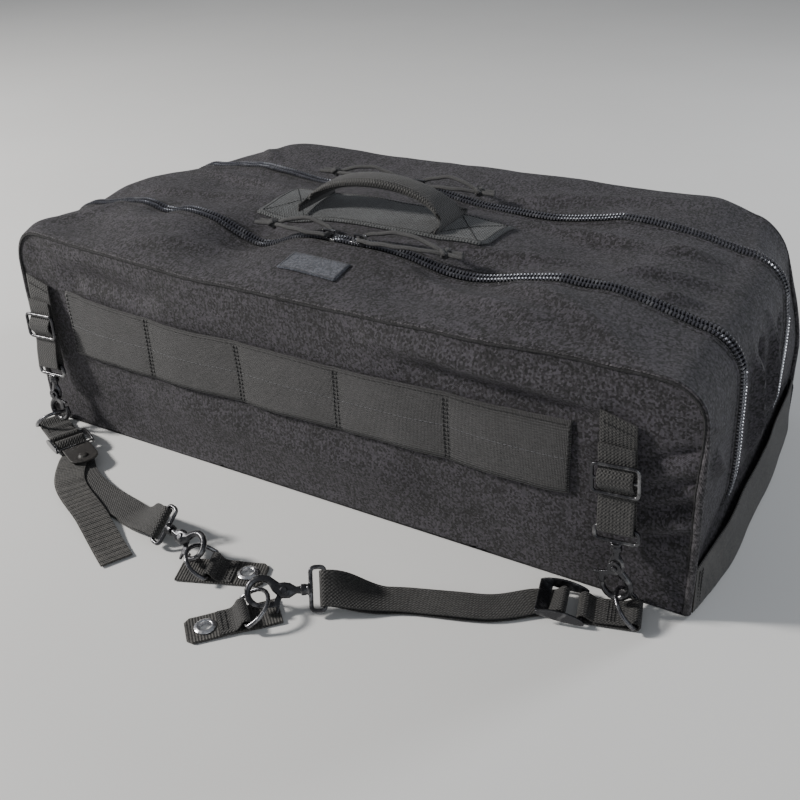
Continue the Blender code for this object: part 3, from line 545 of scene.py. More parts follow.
def webbing_material(name, dark, light, rib=0.0016, width=0.0254, lines=(), roughness=0.66, basket=False):
    """Ribbed webbing: ribs across, a finer cross yarn, selvedges and long marker yarns."""
    made, tree, shader, position = start_material(name, roughness)
    u, v = uv_parts(tree)
    ribs = wave(tree, v, rib)
    yarns = wave(tree, u, rib if basket else rib * 0.62)
    if basket:
        ribs = times(tree, ribs, yarns)
    flecks = mottled(tree, position, 820.0, 2.0)
    shade = mottled(tree, position, 40.0, 3.0)
    height = total(tree, ribs, times(tree, yarns, 0.45), times(tree, flecks, 1.2))
    cells = ranged(tree, speckled(tree, position, 800.0), 0.0, 1.0, -0.30, 0.80)
    tone = total(tree, ranged(tree, ribs, -1.0, 1.0, 0.00, 0.42), cells,
                 ranged(tree, shade, 0.35, 0.65, -0.05, 0.18))
    for place_at, strength in lines:
        away = maths(tree, "ABSOLUTE", maths(tree, "SUBTRACT", u, place_at * width))
        tone = total(tree, tone, ranged(tree, away, 0.0004, 0.0011, strength, 0.0))
    link_colour(tree, shader, tone, dark, light)
    shader.inputs["Sheen Weight"].default_value = 0.15
    set_bump(tree, shader, height, 0.00030, 0.9)
    return made


def metal_material(name, colour, roughness, metallic, wear=0.0, coat=0.0):
    """Coated or plated steel with cast grain, and the coating rubbed brighter in places."""
    made, tree, shader, position = start_material(name, roughness, metallic)
    grain = mottled(tree, position, 420.0, 4.0)
    patches = mottled(tree, position, 95.0, 3.0)
    bright = tuple(min(1.0, c + wear) for c in colour)
    worn = ranged(tree, patches, 0.52, 0.72, 0.0, 1.0)
    link_colour(tree, shader, worn, colour, bright)
    link_roughness(tree, shader, grain, roughness - 0.07, roughness + 0.13)
    shader.inputs["Coat Weight"].default_value = coat
    shader.inputs["Coat Roughness"].default_value = 0.2
    set_bump(tree, shader, grain, 0.00010, 0.35)
    return made


def cord_material(name, dark, light):
    """Braided cord: two crossing spirals of yarn."""
    made, tree, shader, position = start_material(name, 0.6)
    u, v = uv_parts(tree)
    spiral = times(tree, wave(tree, total(tree, u, v), 0.0012),
                   wave(tree, maths(tree, "SUBTRACT", u, v), 0.0012))
    flecks = mottled(tree, position, 1600.0, 1.0)
    tone = total(tree, ranged(tree, spiral, -1.0, 1.0, 0.0, 0.7), ranged(tree, flecks, 0.3, 0.7, -0.1, 0.3))
    link_colour(tree, shader, tone, dark, light)
    set_bump(tree, shader, spiral, 0.00022, 0.9)
    return made


def plastic_material(name, colour, light, roughness):
    made, tree, shader, position = start_material(name, roughness)
    grain = mottled(tree, position, 700.0, 2.0)
    link_colour(tree, shader, ranged(tree, grain, 0.35, 0.7), colour, light)
    link_roughness(tree, shader, grain, roughness - 0.06, roughness + 0.10)
    set_bump(tree, shader, grain, 0.00006, 0.4)
    return made


MATERIALS = {
    "nylon": cloth_material("nylon", (0.0025, 0.0022, 0.003), (0.060, 0.054, 0.066), sheen=0.05),
    # The welt's twill weave is real; its tone, lighter than the nylon it is cut from, is a painted
    # highlight where light catches the rounded seam edge
    "welt": cloth_material("welt_twill_painted_highlight", (0.012, 0.011, 0.013), (0.085, 0.078, 0.086), pitch=0.0016,
                           twill=0.6, sheen=0.10),
    "lining": cloth_material("lining", (0.012, 0.011, 0.012), (0.040, 0.038, 0.042), pitch=0.0007,
                             sheen=0.05),
    "webbing": webbing_material("webbing", (0.004, 0.0038, 0.0037), (0.034, 0.0325, 0.031), rib=0.0025,
                                lines=((0.04, 0.15), (0.96, 0.15)), basket=True),
    "tail": webbing_material("ribbed_tail", (0.006, 0.0058, 0.0054), (0.066, 0.062, 0.056), rib=0.0021,
                             lines=((0.04, 0.2), (0.96, 0.2))),
    "band": webbing_material("attachment_band", (0.003, 0.0029, 0.0030), (0.030, 0.0285, 0.0295),
                             rib=0.0018, width=0.054,
                             lines=((0.02, 0.35), (0.35, 0.22), (0.66, 0.20), (0.98, 0.35))),
    "patch": webbing_material("handle_webbing", (0.006, 0.0065, 0.0068), (0.066, 0.071, 0.074),
                              rib=0.0027, width=0.061, basket=True),
    "steel": metal_material("black_steel", (0.045, 0.045, 0.050), 0.27, 0.85, wear=0.20, coat=0.4),
    "wire": metal_material("dark_wire", (0.11, 0.11, 0.12), 0.22, 0.95, wear=0.28, coat=0.2),
    "enamel": metal_material("slider_enamel", (0.030, 0.030, 0.035), 0.16, 0.7, wear=0.35, coat=0.8),
    "silver": metal_material("silver", (0.72, 0.72, 0.74), 0.22, 1.0, wear=-0.12),
    # The coil's grey, lighter than its black tape, is a painted highlight standing in for the glints on the
    # teeth; the coat adds real gloss on top
    "coil": metal_material("zip_coil", (0.065, 0.065, 0.078), 0.30, 0.35, wear=0.10, coat=0.6),
    "tape": cloth_material("zip_tape", (0.004, 0.004, 0.0045), (0.018, 0.017, 0.019), pitch=0.0009,
                           sheen=0.03),
    "board": plastic_material("board", (0.030, 0.030, 0.032), (0.060, 0.060, 0.062), 0.6),
    "cord": cord_material("cord", (0.018, 0.018, 0.019), (0.140, 0.138, 0.138)),
    "thread": plastic_material("thread", (0.004, 0.004, 0.0045), (0.018, 0.018, 0.019), 0.55),
    "pale_thread": plastic_material("pale_thread", (0.060, 0.062, 0.070), (0.13, 0.13, 0.14), 0.55),
    "label": cloth_material("label_satin", (0.030, 0.034, 0.048), (0.115, 0.125, 0.155), pitch=0.0006,
                            sheen=0.1, roughness=0.50),
    "keeper": plastic_material("keeper_tongue", (0.014, 0.013, 0.013), (0.040, 0.037, 0.034), 0.5),
}


# ------------------------------------------------------------------ camera, light and floor

LENS_MM, SENSOR_MM = 45, 36
FLOOR_REACH = 4.0
FLOOR_Z = -0.0002
SKY_COLOUR, SKY_STRENGTH = (0.80, 0.84, 0.90, 1), 0.26
# Name, place, aim, size, power and colour
LIGHTS = [("key", (-2.25, -1.15, 1.62), (0.0, -0.05, 0.08), 0.42, 122, (1.0, 0.97, 0.93)),
          ("fill", (1.5, -1.3, 0.9), (0.0, 0.0, 0.1), 1.4, 5, (0.90, 0.95, 1.0)),
          ("back", (1.15, 1.35, 0.95), (0.1, 0.0, 0.12), 0.45, 13, (0.92, 0.95, 1.0))]
CAMERA_AT = (0.4166, -0.6856, 0.4831)
CAMERA_AZIMUTH, CAMERA_ELEVATION, CAMERA_ROLL = radians(31.9), radians(30.2), -0.052


def make_camera():
    camera = bpy.data.objects.new("camera", bpy.data.cameras.new("camera"))
    camera.data.lens = LENS_MM
    camera.data.sensor_width = SENSOR_MM
    camera.data.clip_start = 0.05
    turn = Matrix.Rotation(CAMERA_AZIMUTH, 4, "Z") @ Matrix.Rotation(pi / 2 - CAMERA_ELEVATION, 4, "X")
    camera.matrix_world = Matrix.Translation(CAMERA_AT) @ turn @ Matrix.Rotation(CAMERA_ROLL, 4, "Z")
    bpy.context.scene.collection.objects.link(camera)
    bpy.context.scene.camera = camera


def add_light(name, place_at, aim, size, power, colour):
    lamp = bpy.data.lights.new(name, "AREA")
    lamp.shape = "DISK"
    lamp.size = size
    lamp.energy = power
    lamp.color = colour
    made = bpy.data.objects.new(name, lamp)
    made.location = place_at
    made.rotation_euler = (Vector(aim) - Vector(place_at)).to_track_quat("-Z", "Y").to_euler()
    bpy.context.scene.collection.objects.link(made)


def make_studio():
    world = bpy.data.worlds.new("studio")
    world.use_nodes = True
    sky = world.node_tree.nodes["Background"]
    sky.inputs[0].default_value = SKY_COLOUR
    sky.inputs[1].default_value = SKY_STRENGTH
    bpy.context.scene.world = world
    for light in LIGHTS:
        add_light(*light)
    work = bmesh.new()
    corners = ((-1, -1), (1, -1), (1, 1), (-1, 1))
    work.faces.new([work.verts.new((a * FLOOR_REACH, b * FLOOR_REACH, 0)) for a, b in corners])
    made, tree, shader, position = start_material("studio_floor", 0.85)
    shade = mottled(tree, position, 3.0, 2.0)
    link_colour(tree, shader, shade, (0.70, 0.70, 0.69), (0.76, 0.76, 0.75))
    floor = new_object("floor", finish_mesh(work, "floor"), made)
    floor.location.z = FLOOR_Z


# ------------------------------------------------------------------ shells

# The last radius is that of the thin dark tube of painted shade along each seam's groove
WELT_RADIUS, WELT_FOOT_RADIUS, SHADE_LINE_RADIUS = 0.0019, 0.0028, 0.0010

def spaced(start, stop, step=CELL):
    count = max(1, round(abs(stop - start) / step))
    return [start + (stop - start) * k / count for k in range(count + 1)]


def gusset(name, first, last, low, body, slot, replaced):
    """The cloth over the top and ends between two depths, from a given height up."""
    rows = [on_hoop(y, low) for y in spaced(first, last)]
    piece = grid_object(name, rows, MATERIALS["nylon"], flip=True)
    thicken(piece, CLOTH)
    return place(piece, body, slot, *replaced)


def outline_top(x):
    """Height of the seam above a place along the front or back panel."""
    into = abs(x) - (HALF_LENGTH - CORNER)
    if into <= 0:
        return SEAM_Z
    into = min(into, CORNER)
    return SEAM_Z - CORNER + sqrt(max(0.0, CORNER ** 2 - into ** 2))


def panel_columns():
    flat = HALF_LENGTH - CORNER
    turns = [flat + CORNER * sin(0.5 * pi * k / 10) for k in range(1, 11)]
    right = spaced(0.0, flat) + turns
    return [-x for x in reversed(right[1:])] + right


def face_panel(name, y):
    """The whole front or back panel."""
    rows = []
    for level in spaced(0.0, 1.0, CELL / SEAM_Z):
        points = [Vector((x, y, SOLE_Z + (outline_top(x) - SOLE_Z) * level)) for x in panel_columns()]
        rows.append(softened(points))
    piece = grid_object(name, rows, MATERIALS["nylon"], flip=y > 0)
    thicken(piece, CLOTH)
    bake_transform(piece)
    return piece


def make_tray():
    """Low end walls and the base."""
    depths = spaced(-HALF_DEPTH, HALF_DEPTH)
    heights = spaced(SOLE_Z, TRAY_TOP + 0.0004)
    work = bmesh.new()
    for side in (1, -1):
        rows = []
        for z in heights:
            points = [Vector((side * end_x(y), y, z)) for y in depths]
            rows.append(softened(points))
        add_grid(work, rows, flip=side < 0)
    columns = spaced(-1.0, 1.0, 0.04)
    base = []
    for y in spaced(-HALF_DEPTH, HALF_DEPTH, 0.02):
        row = [Vector((end_x(y) * share, y, SOLE_Z)) for share in columns]
        base.append([p - X * drawn_in(p) for p in row])
    add_grid(work, base, flip=True)
    piece = new_object("tray_cloth", finish_mesh(work, "tray_cloth"), MATERIALS["nylon"])
    thicken(piece, CLOTH)
    place(piece, "root", "nylon", "lower_tray")


def welt(name, y, body, replaced):
    """Cloth-covered seam welt round the front or back edge, and a thin dark tube beside it that is painted
    shade for the shadow in the seam's groove.
    """
    out = -1 if y < 0 else 1
    low = TRAY_TOP + 0.0005
    base = hoop_points(y, low)
    path, scales = [], []
    for p, outward in base:
        low_down = 1 - smooth(p.z, 0.110, SEAM_Z - 0.012)
        path.append(p + soft(p) - outward * (0.0010 - 0.0012 * low_down) - Y * (out * 0.0006))
        scales.append((0.45 + 1.0 * low_down, 0.45 + 1.0 * low_down))
    tube = sweep_mesh(path, disc(WELT_RADIUS, 12), Y, scales=scales)
    piece = new_object(name, tube, MATERIALS["welt"])
    place(piece, body, "piping", replaced)
    # A thin dark tube along the seam beside the welt: painted shade, standing in for the shadow in the
    # seam's groove
    shade_line_path = [p + soft(p) - outward * 0.0026 + Y * (out * 0.0003) for p, outward in base]
    tube = sweep_mesh(shade_line_path, disc(SHADE_LINE_RADIUS, 6), Y)
    place(new_object(name + "_painted_shade_line", tube, MATERIALS["tape"]), body, "piping")
    lower = []
    for side in (1, -1):
        points = [Vector((side * HALF_LENGTH, y, z)) for z in spaced(0.0030, low - 0.0004, 0.004)]
        way = [p + soft(p) + X * (side * 0.0002) - Y * (out * 0.0006) for p in points]
        lower.append(sweep_mesh(way, disc(WELT_FOOT_RADIUS, 12), Y))
    foot = new_object(name + "_foot", join_meshes(lower, name), MATERIALS["welt"])
    place(foot, "root", "piping")


# ------------------------------------------------------------------ zips

TOOTH_PITCH = 0.0028
TOOTH_RADIUS = 0.0009
# A tooth's points: distance from the middle of the zip, height over the tape, lean along the zip
TOOTH_SHAPE = [(0.0050, 0.0008, 0.0003), (0.0044, 0.0022, 0.0002), (0.0030, 0.0026, 0.0),
               (0.0012, 0.0014, 0.0), (-0.0008, 0.0008, 0.0)]
TOOTH_SCALES = [(0.9, 0.9), (1.25, 1.25), (1.0, 1.0), (0.7, 0.7), (0.8, 0.8)]
TAPE_SHAPE = [(0.0003, -0.0010), (0.0022, -0.0009), (0.0044, -0.0012), (0.0072, -0.0024)]
ZIP_FOOT = 0.046
HEM_AT = 0.0056
HEM_SEAM = 0.0030
HEM_SHAPE = [(0.0, -0.0006), (0.0002, 0.0004), (0.0012, 0.0009), (0.0042, 0.0010), (0.0058, 0.0002)]


def zip_half(name, zip_y, side, body, replaced):
    """Tape and coil: each tooth is a bent bar that reaches over the middle of the zip."""
    tape_rows = [on_hoop(zip_y + side * a, ZIP_FOOT, lift=lift) for a, lift in TAPE_SHAPE]
    work = bmesh.new()
    add_grid(work, tape_rows, flip=side > 0)
    line = [(p + soft(p), outward) for p, outward in hoop_points(zip_y, ZIP_FOOT)]
    meshes = [finish_mesh(work, "tape")]
    travelled, shift = 0.0, (0.25 if side > 0 else 0.75) * TOOTH_PITCH
    section = disc(TOOTH_RADIUS, 6)
    for (a, out_a), (b, out_b) in zip(line, line[1:]):
        run = (b - a).length
        while shift < travelled + run:
            share = (shift - travelled) / run
            out = out_a.lerp(out_b, share).normalized()
            along = (b - a).normalized()
            middle = a.lerp(b, share)
            path = [middle + Y * (side * reach) + out * rise + along * slant
                    for reach, rise, slant in TOOTH_SHAPE]
            meshes.append(sweep_mesh(path, section, along, scales=TOOTH_SCALES))
            shift += TOOTH_PITCH
        travelled += run
    mesh = join_meshes(meshes, name)
    piece = new_object(name, mesh, MATERIALS["tape"])
    piece.data.materials.append(MATERIALS["coil"])
    tape_faces = (len(tape_rows) - 1) * (len(tape_rows[0]) - 1)
    for face in piece.data.polygons:
        face.material_index = 0 if face.index < tape_faces else 1
    place(piece, body, "zip_coil", replaced)


def hem(name, zip_y, side, body):
    """The folded cloth edge beside the tape with its row of stitches."""
    low = TRAY_TOP + 0.001
    edge = zip_y + side * HEM_AT
    rows = [on_hoop(edge + side * a, low, lift=lift) for a, lift in HEM_SHAPE]
    piece = grid_object(name, rows, MATERIALS["nylon"], flip=side > 0)
    place(piece, body, "nylon")
    seam = hoop_points(edge + side * HEM_SEAM, low)
    line = [p + soft(p) + out * 0.0013 for p, out in seam]
    stitches(name + "_stitches", line, [out for p, out in seam], body)


def make_divider():
    """The padded divider between the compartments, slumped below the top cloth."""
    low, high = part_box("divider_panel")
    y, half = (low.y + high.y) / 2, (high.y - low.y) / 2
    rows = []
    for z in spaced(low.z, high.z - 0.012, 0.006):
        ring = [Vector((x, y - half, low.z + (z - low.z) * (0.95 - 0.22 * smooth(abs(x), 0.150, 0.270))))
                for x in spaced(low.x + 0.035, high.x - 0.040, 0.008)]
        ring += [Vector((p.x, y + half, p.z)) for p in reversed(ring)]
        wobble = smooth(z, low.z, high.z)
        rows.append([p + (Y * sin(p.x * 19 + 0.7) - Z * cos(p.x * 27)) * (0.004 * wobble) for p in ring])
    work = bmesh.new()
    made = add_grid(work, rows, closed_columns=True)
    work.faces.new(made[0][::-1])
    work.faces.new(made[-1])
    bmesh.ops.recalc_face_normals(work, faces=work.faces[:])
    piece = new_object("divider_cloth", finish_mesh(work, "divider"), MATERIALS["lining"])
    place(piece, "root", "nylon", "divider_panel")


def make_shells():
    make_divider()
    front_edge, band_front = FRONT_ZIP - ZIP_HALF, FRONT_ZIP + ZIP_HALF
    rear_edge, band_rear = REAR_ZIP + ZIP_HALF, REAR_ZIP - ZIP_HALF
    low = TRAY_TOP + 0.0004
    gusset("front_gusset", -HALF_DEPTH, front_edge, low, "front_cover", "nylon", ["front_cover"])
    gusset("rear_gusset", rear_edge, HALF_DEPTH, low, "rear_cover", "nylon", ["rear_cover"])
    gusset("band_cloth", band_front, band_rear, low, "root", "nylon", ["center_band"])
    face_panel("front_panel", -HALF_DEPTH)
    face_panel("rear_panel", HALF_DEPTH)
    make_tray()
    welt("front_welt", -HALF_DEPTH, "front_cover", "front_piping")
    welt("rear_welt", HALF_DEPTH, "rear_cover", "rear_piping")
    for end, zip_y, out in (("front", FRONT_ZIP, -1), ("rear", REAR_ZIP, 1)):
        cover = end + "_cover"
        zip_half(end + "_zip_outer", zip_y, out, cover, end + "_zip_cover_half")
        zip_half(end + "_zip_inner", zip_y, -out, "root", end + "_zip_body_half")
        hem(end + "_outer_hem", zip_y, out, cover)
        hem(end + "_inner_hem", zip_y, -out, "root")


# ------------------------------------------------------------------ sewn-on pieces

CELLS = 5
CELL_LENGTH = 0.0944
CELL_BOW = 0.0022
CELL_SEAM_HALF = 0.0017
MARKER_Z = 0.106
SEWN = 0.0009


def surface_patch(name, rows, thickness, material, body, slot, replaced):
    piece = grid_object(name, rows, material)
    thicken(piece, thickness, offset=1.0)
    return place(piece, body, slot, replaced)


def cell_lift(x):
    """How far the band stands off the cloth: sewn down at each cell's ends, bowed between them."""
    length = (strip_high.x - strip_low.x) / CELLS
    share = (x - strip_low.x) / length % 1.0
    return SEWN * 0.4 + CELL_BOW * sin(pi * share) ** 0.7


def make_attachment_band():
    columns = spaced(strip_low.x, strip_high.x, 0.0024)
    rows = []
    heights = spaced(strip_low.z, strip_high.z, 0.0036)
    for z in heights:
        edge = min(z - strip_low.z, strip_high.z - z)
        rows.append([front_point(x, z, cell_lift(x) + 0.0004 * smooth(edge, 0, 0.004)) for x in columns])
    surface_patch("front_band", rows, 0.0013, MATERIALS["band"], "front_cover", "webbing",
                  "attachment_webbing")
    for k in range(CELLS + 1):
        x = strip_low.x + (strip_high.x - strip_low.x) * k / CELLS
        for shift in (-CELL_SEAM_HALF, CELL_SEAM_HALF):
            at = min(max(x + shift, strip_low.x + 0.0012), strip_high.x - 0.0012)
            lift = 0.0020 + CELL_BOW * sin(pi * min(abs(at - x), 0.01) / CELL_LENGTH) ** 0.7
            line = [front_point(at, z, lift)
                    for z in spaced(strip_low.z + 0.001, strip_high.z - 0.001, 0.003)]
            row_name = f"band_stitches_{k}_{'a' if shift < 0 else 'b'}"
            stitches(row_name, line, -Y, "front_cover", 0.0036, 0.0027, 0.00055)
    lines = ((strip_low.z + 0.0025, "thread"), (MARKER_Z, "pale_thread"), (strip_high.z - 0.0025, "thread"))
    for z, finish in lines:
        line = [front_point(x, z, cell_lift(x) + 0.0017)
                for x in spaced(strip_low.x + 0.002, strip_high.x - 0.002, 0.003)]
        stitches(f"band_line_{round(z * 1000)}", line, -Y, "front_cover",
                 spacing=0.0042, length=0.0028, radius=0.00024, finish=finish)


def top_rows(low, high, step, lift):
    """Rows of points over a rectangle on the bag's top, lifted by a function of x and y."""
    return [[nearest_top(x, y, lift(x, y)) for x in spaced(low[0], high[0], step)]
            for y in spaced(low[1], high[1], step)]


def stitched_rectangle(name, low, high, lift, body, finish, extra=()):
    """Stitches round a rectangle on the top, with any extra lines given by their ends."""
    corners = [(low[0], low[1]), (high[0], low[1]), (high[0], high[1]), (low[0], high[1])]
    runs = list(zip(corners, corners[1:] + corners[:1])) + list(extra)
    for index, (a, b) in enumerate(runs):
        count = max(2, round(sqrt((b[0] - a[0]) ** 2 + (b[1] - a[1]) ** 2) / 0.002))
        shares = [k / count for k in range(count + 1)]
        flat = [(a[0] + (b[0] - a[0]) * share, a[1] + (b[1] - a[1]) * share) for share in shares]
        line = [nearest_top(x, y, lift(x, y)) for x, y in flat]
        stitches(f"{name}_{index}", line, Z, body, 0.0028, 0.0021, finish=finish)


def edge_lift(low, high, rise, reach):
    """A lift that is lowest along the sewn edges of a rectangle."""
    def lift(x, y):
        edge = min(x - low.x, high.x - x, y - low.y, high.y - y)
        return 0.0004 + rise * smooth(edge, 0, reach)
    return lift


def make_label():
    rows = top_rows(label_low, label_high, 0.002, edge_lift(label_low, label_high, 0.0003, 0.002))
    surface_patch("label_patch", rows, 0.0009, MATERIALS["label"], "front_cover", "label", "label")
    low, high = (label_low.x + 0.0015, label_low.y + 0.0015), (label_high.x - 0.0015, label_high.y - 0.0015)
    stitched_rectangle("label_stitches", low, high, lambda x, y: 0.0018, "front_cover", "pale_thread")


def make_handle_patch():
    rows = top_rows(patch_low, patch_high, 0.003, edge_lift(patch_low, patch_high, 0.0007, 0.0035))
    surface_patch("handle_patch", rows, 0.0016, MATERIALS["patch"], "root", "webbing", "handle_base")
    inset, box_length = 0.0035, 0.044
    low = (patch_low.x + inset, patch_low.y + inset)
    high = (patch_high.x - inset, patch_high.y - inset)
    crosses = []
    for a, b in ((low[0], low[0] + box_length), (high[0] - box_length, high[0])):
        inner = b if a == low[0] else a
        crosses += [((a, low[1]), (b, high[1])), ((a, high[1]), (b, low[1]))]
        crosses += [((inner, low[1]), (inner, high[1]))]
    stitched_rectangle("patch_stitches", low, high, lambda x, y: 0.0029, "root", "thread", crosses)


GRIP_STEPS = 84
GRIP_FLAT = 0.0560
GRIP_HELD = 0.0370
GRIP_BEND = 0.0062
GRIP_REACH = 0.0655
GRIP_RISE = 0.80
GRIP_THICKNESS = 0.0018
HANDLE_WIDTH = 0.0370
HANDLE_THICKNESS = 0.0017


def grip_row(centre, across, up, height):
    """One cut across the grip's webbing: flat where it is sewn down, and folded under where it is held."""
    lift = smooth(height, 0.0, 0.027)
    angle = pi * 0.93 * lift
    points = []
    half = (GRIP_FLAT + (GRIP_HELD - GRIP_FLAT) * lift) / 2
    turn_start = 0.5 * half - 0.0012
    for k in range(41):
        t = half * (k / 20 - 1)
        side = 1 if t > 0 else -1
        a = abs(t)
        if a <= turn_start:
            u, v = a, 0.0007 * (1 - (a / turn_start) ** 2) * lift
        else:
            over = a - turn_start
            turned = angle * min(1.0, over / GRIP_BEND)
            if angle > 1e-4:
                radius = GRIP_BEND / angle
                u, v = turn_start + radius * sin(turned), -radius * (1 - cos(turned))
            else:
                u, v = turn_start + over * min(1.0, GRIP_BEND / over), 0.0
            rest = max(0.0, over - GRIP_BEND)
            u += rest * cos(angle)
            v -= rest * sin(angle)
        points.append(centre + across * (side * u) + up * v)
    return points


def make_grip():
    """One strip of wide webbing, sewn flat at both ends and folded lengthwise between."""
    low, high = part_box("handle_grip")
    centre_x, centre_y = (low.x + high.x) / 2, (low.y + high.y) / 2
    base = patch_high.z + 0.0006
    rise = (high.z - base) * GRIP_RISE
    rows = []
    for k in range(GRIP_STEPS + 1):
        angle = pi * (1 - k / GRIP_STEPS)
        height = rise * sin(angle) ** 0.92
        x = centre_x + GRIP_REACH * cos(angle) * (1 - 0.10 * sin(angle) ** 2)
        slope = Vector((GRIP_REACH * sin(angle) * 0.95, 0, rise * cos(angle))).normalized()
        slope = slope if slope.x > 0 else -slope
        up = Vector((-slope.z, 0, slope.x)).normalized()
        sway = 0.0018 * sin(2.3 * angle + 0.4) * sin(angle)
        rows.append(grip_row(Vector((x, centre_y + sway, base + height)), Y, up, height))
    piece = grid_object("carry_grip", rows, MATERIALS["webbing"])
    thicken(piece, GRIP_THICKNESS)
    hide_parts("handle_grip")
    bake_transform(piece)
    middle = rows[22:-22]
    for side, column in (("front", 11), ("rear", 29)):
        line = [row[column] + Z * 0.0003 for row in middle]
        stitches(f"grip_stitches_{side}", line, Z, "handle_grip", 0.0034, 0.0026)


def make_end_handle(name, side):
    """Ribbed webbing from seam to seam across the low part of an end, slack and leaning out between."""
    half = HALF_DEPTH - 0.004
    path, sides = [], []
    for k in range(97):
        y = -half + 2 * half * k / 96
        share = fullness(y)
        wall = [Vector((side * end_x(y), y, z)) for z in (0.0040, 0.0200, 0.0390)]
        low, mid, high = softened(wall)
        out = max(abs(low.x + high.x) / 2, abs(mid.x)) + 0.0019 + 0.0022 * share + 0.0005 * sin(y * 61)
        path.append(Vector((side * out, y, 0.0200 + 0.0006 * sin(y * 40 + 1))))
        sides.append((high - low).normalized())
    section = webbing_section(HANDLE_WIDTH, HANDLE_THICKNESS, 18)
    piece = new_object(name + "_webbing", sweep_mesh(path, section, sides, flat=True), MATERIALS["tail"])
    place(piece, "root", "webbing", name)
    length = round(path_length(path), 3)
    for end in (-1, 1):
        for shift in (0.004, 0.008):
            y = end * (half - shift)
            at = min(path, key=lambda p: abs(p.y - y)).x + side * 0.0010
            line = [Vector((at, y, z)) for z in spaced(0.0035, 0.0365, 0.003)]
            stitches(f"{name}_tack_{'front' if end < 0 else 'rear'}_{round(shift * 1000)}", line,
                     X * side, "root", spacing=0.003, length=0.0023, radius=0.0004)


# ------------------------------------------------------------------ cord pulls

CORD_RADIUS = 0.0018
KNOT_SIZE = 0.00126
CORD_WAVE = 0.0003
UPPER_ARCH, LOWER_ARCH = 0.0062, 0.0016
# Name, slider's x, zip's y, length of the loop, and the way it lies along X
PULLS = [("front_left", -0.030, FRONT_ZIP, 0.056, -1), ("front_right", -0.001, FRONT_ZIP, 0.076, 1),
         ("rear_left", -0.052, REAR_ZIP, 0.064, -1), ("rear_right", -0.026, REAR_ZIP, 0.060, 1)]


def knot_path(centre, ahead, size):
    """A tight trefoil, which looks like an overhand knot."""
    points = []
    for k in range(72):
        t = 2 * pi * k / 72
        a = sin(t) + 2 * sin(2 * t)
        b = cos(t) - 2 * cos(2 * t)
        points.append(centre + Y * (a * size) + Z * (b * size * 0.82) + ahead * (-sin(3 * t) * size * 1.5))
    return points


def make_pull(name, x, zip_y, reach, direction):
    body = name + "_pull_cord"
    low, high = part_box(body)
    pivot_z = (low.z + high.z) / 2
    pivot = Vector((x, zip_y, pivot_z))
    leg, knot_x = 0.0042, reach - 0.0022
    route = []
    for k in range(31):
        t = k / 30
        spread = leg * (1 - t) ** 0.6 * (1 + 0.5 * sin(pi * t)) + 0.0015
        route.append((knot_x * (1 - 0.97 * (1 - t)), spread))
    turn = [(0.0012, leg * 0.95), (0.0005, 0.0032), (0.0002, 0.0016), (0.0001, 0.0),
            (0.0002, -0.0016), (0.0005, -0.0032), (0.0012, -leg * 0.95)]
    local = route[::-1] + turn + [(a, -b) for a, b in route]
    path = []
    for a, b in local:
        arch = max(0.0, sin(pi * min(1.0, max(0.0, a) / knot_x)))
        rise = UPPER_ARCH if b > 0 else LOWER_ARCH
        path.append(pivot + Vector((direction * a, b * (1 + 0.35 * arch) + CORD_WAVE * sin(a * 260),
                                    rise * arch + CORD_WAVE * sin(a * 310))))
    centre = pivot + X * (direction * (reach + 0.0006))
    section = disc(CORD_RADIUS, 10)
    meshes = [sweep_mesh(path, section, Z),
              sweep_mesh(knot_path(centre, X * direction, KNOT_SIZE), section, X, closed=True)]
    for side, length, spread in ((-1, 0.0168, 0.0026), (1, 0.0148, 0.0021)):
        start = centre + Vector((direction * 0.0020, side * 0.0014, 0))
        stop = centre + Vector((direction * (length - 0.0006), side * spread, 0.0002 * side))
        middle = start.lerp(stop, 0.5) + Y * (side * 0.0006)
        meshes.append(sweep_mesh(curve_through([start, middle, stop], 8), section, Z))
    piece = new_object(name + "_pull_loop", join_meshes(meshes, name), MATERIALS["cord"])
    place(piece, body, "cord", body)


# ------------------------------------------------------------------ harness frames

WEB_WIDTH = 0.0254
WEB = 0.0014
TURN = 0.0033
RING_HALF = 0.0155
RING_LEG = 0.0065
EYE_HEIGHT = 0.010
RIVET_W = EYE_HEIGHT + 0.019
JAW_W = RIVET_W + 0.016
ADAPTER_LENGTH = 0.029
FLOOR_BAR = 0.0045
RAISED_BAR = 0.0062
LOW_LAYER = 0.0012
UPPER_LAYER = 0.0034
LEAD = 0.018
STRAP_DROP = 0.080
TRIGLIDE_W = 0.0425
GROMMET_AT = 0.027
TAB_BACK = 0.026
TAB_FRONT = 0.041
HOOK_ROLL = pi / 4
END_TAB_LENGTH = 0.0357
TACK_HALF = 0.0105
TAB_ROWS = 84
TAB_TAPER = 0.004
TAB_THICKNESS = 0.0017
EYELET_RADIUS = 0.0058
ADAPTER_HALF = 0.0160
ADAPTER_BAR_RADIUS = 0.0015
CHEEK_AT, CHEEK_THICKNESS = 0.01665, 0.0016
WEBBING = webbing_section(WEB_WIDTH, WEB, 12)
LOOP_WEBBING = webbing_section(WEB_WIDTH - 0.0006, WEB, 12)

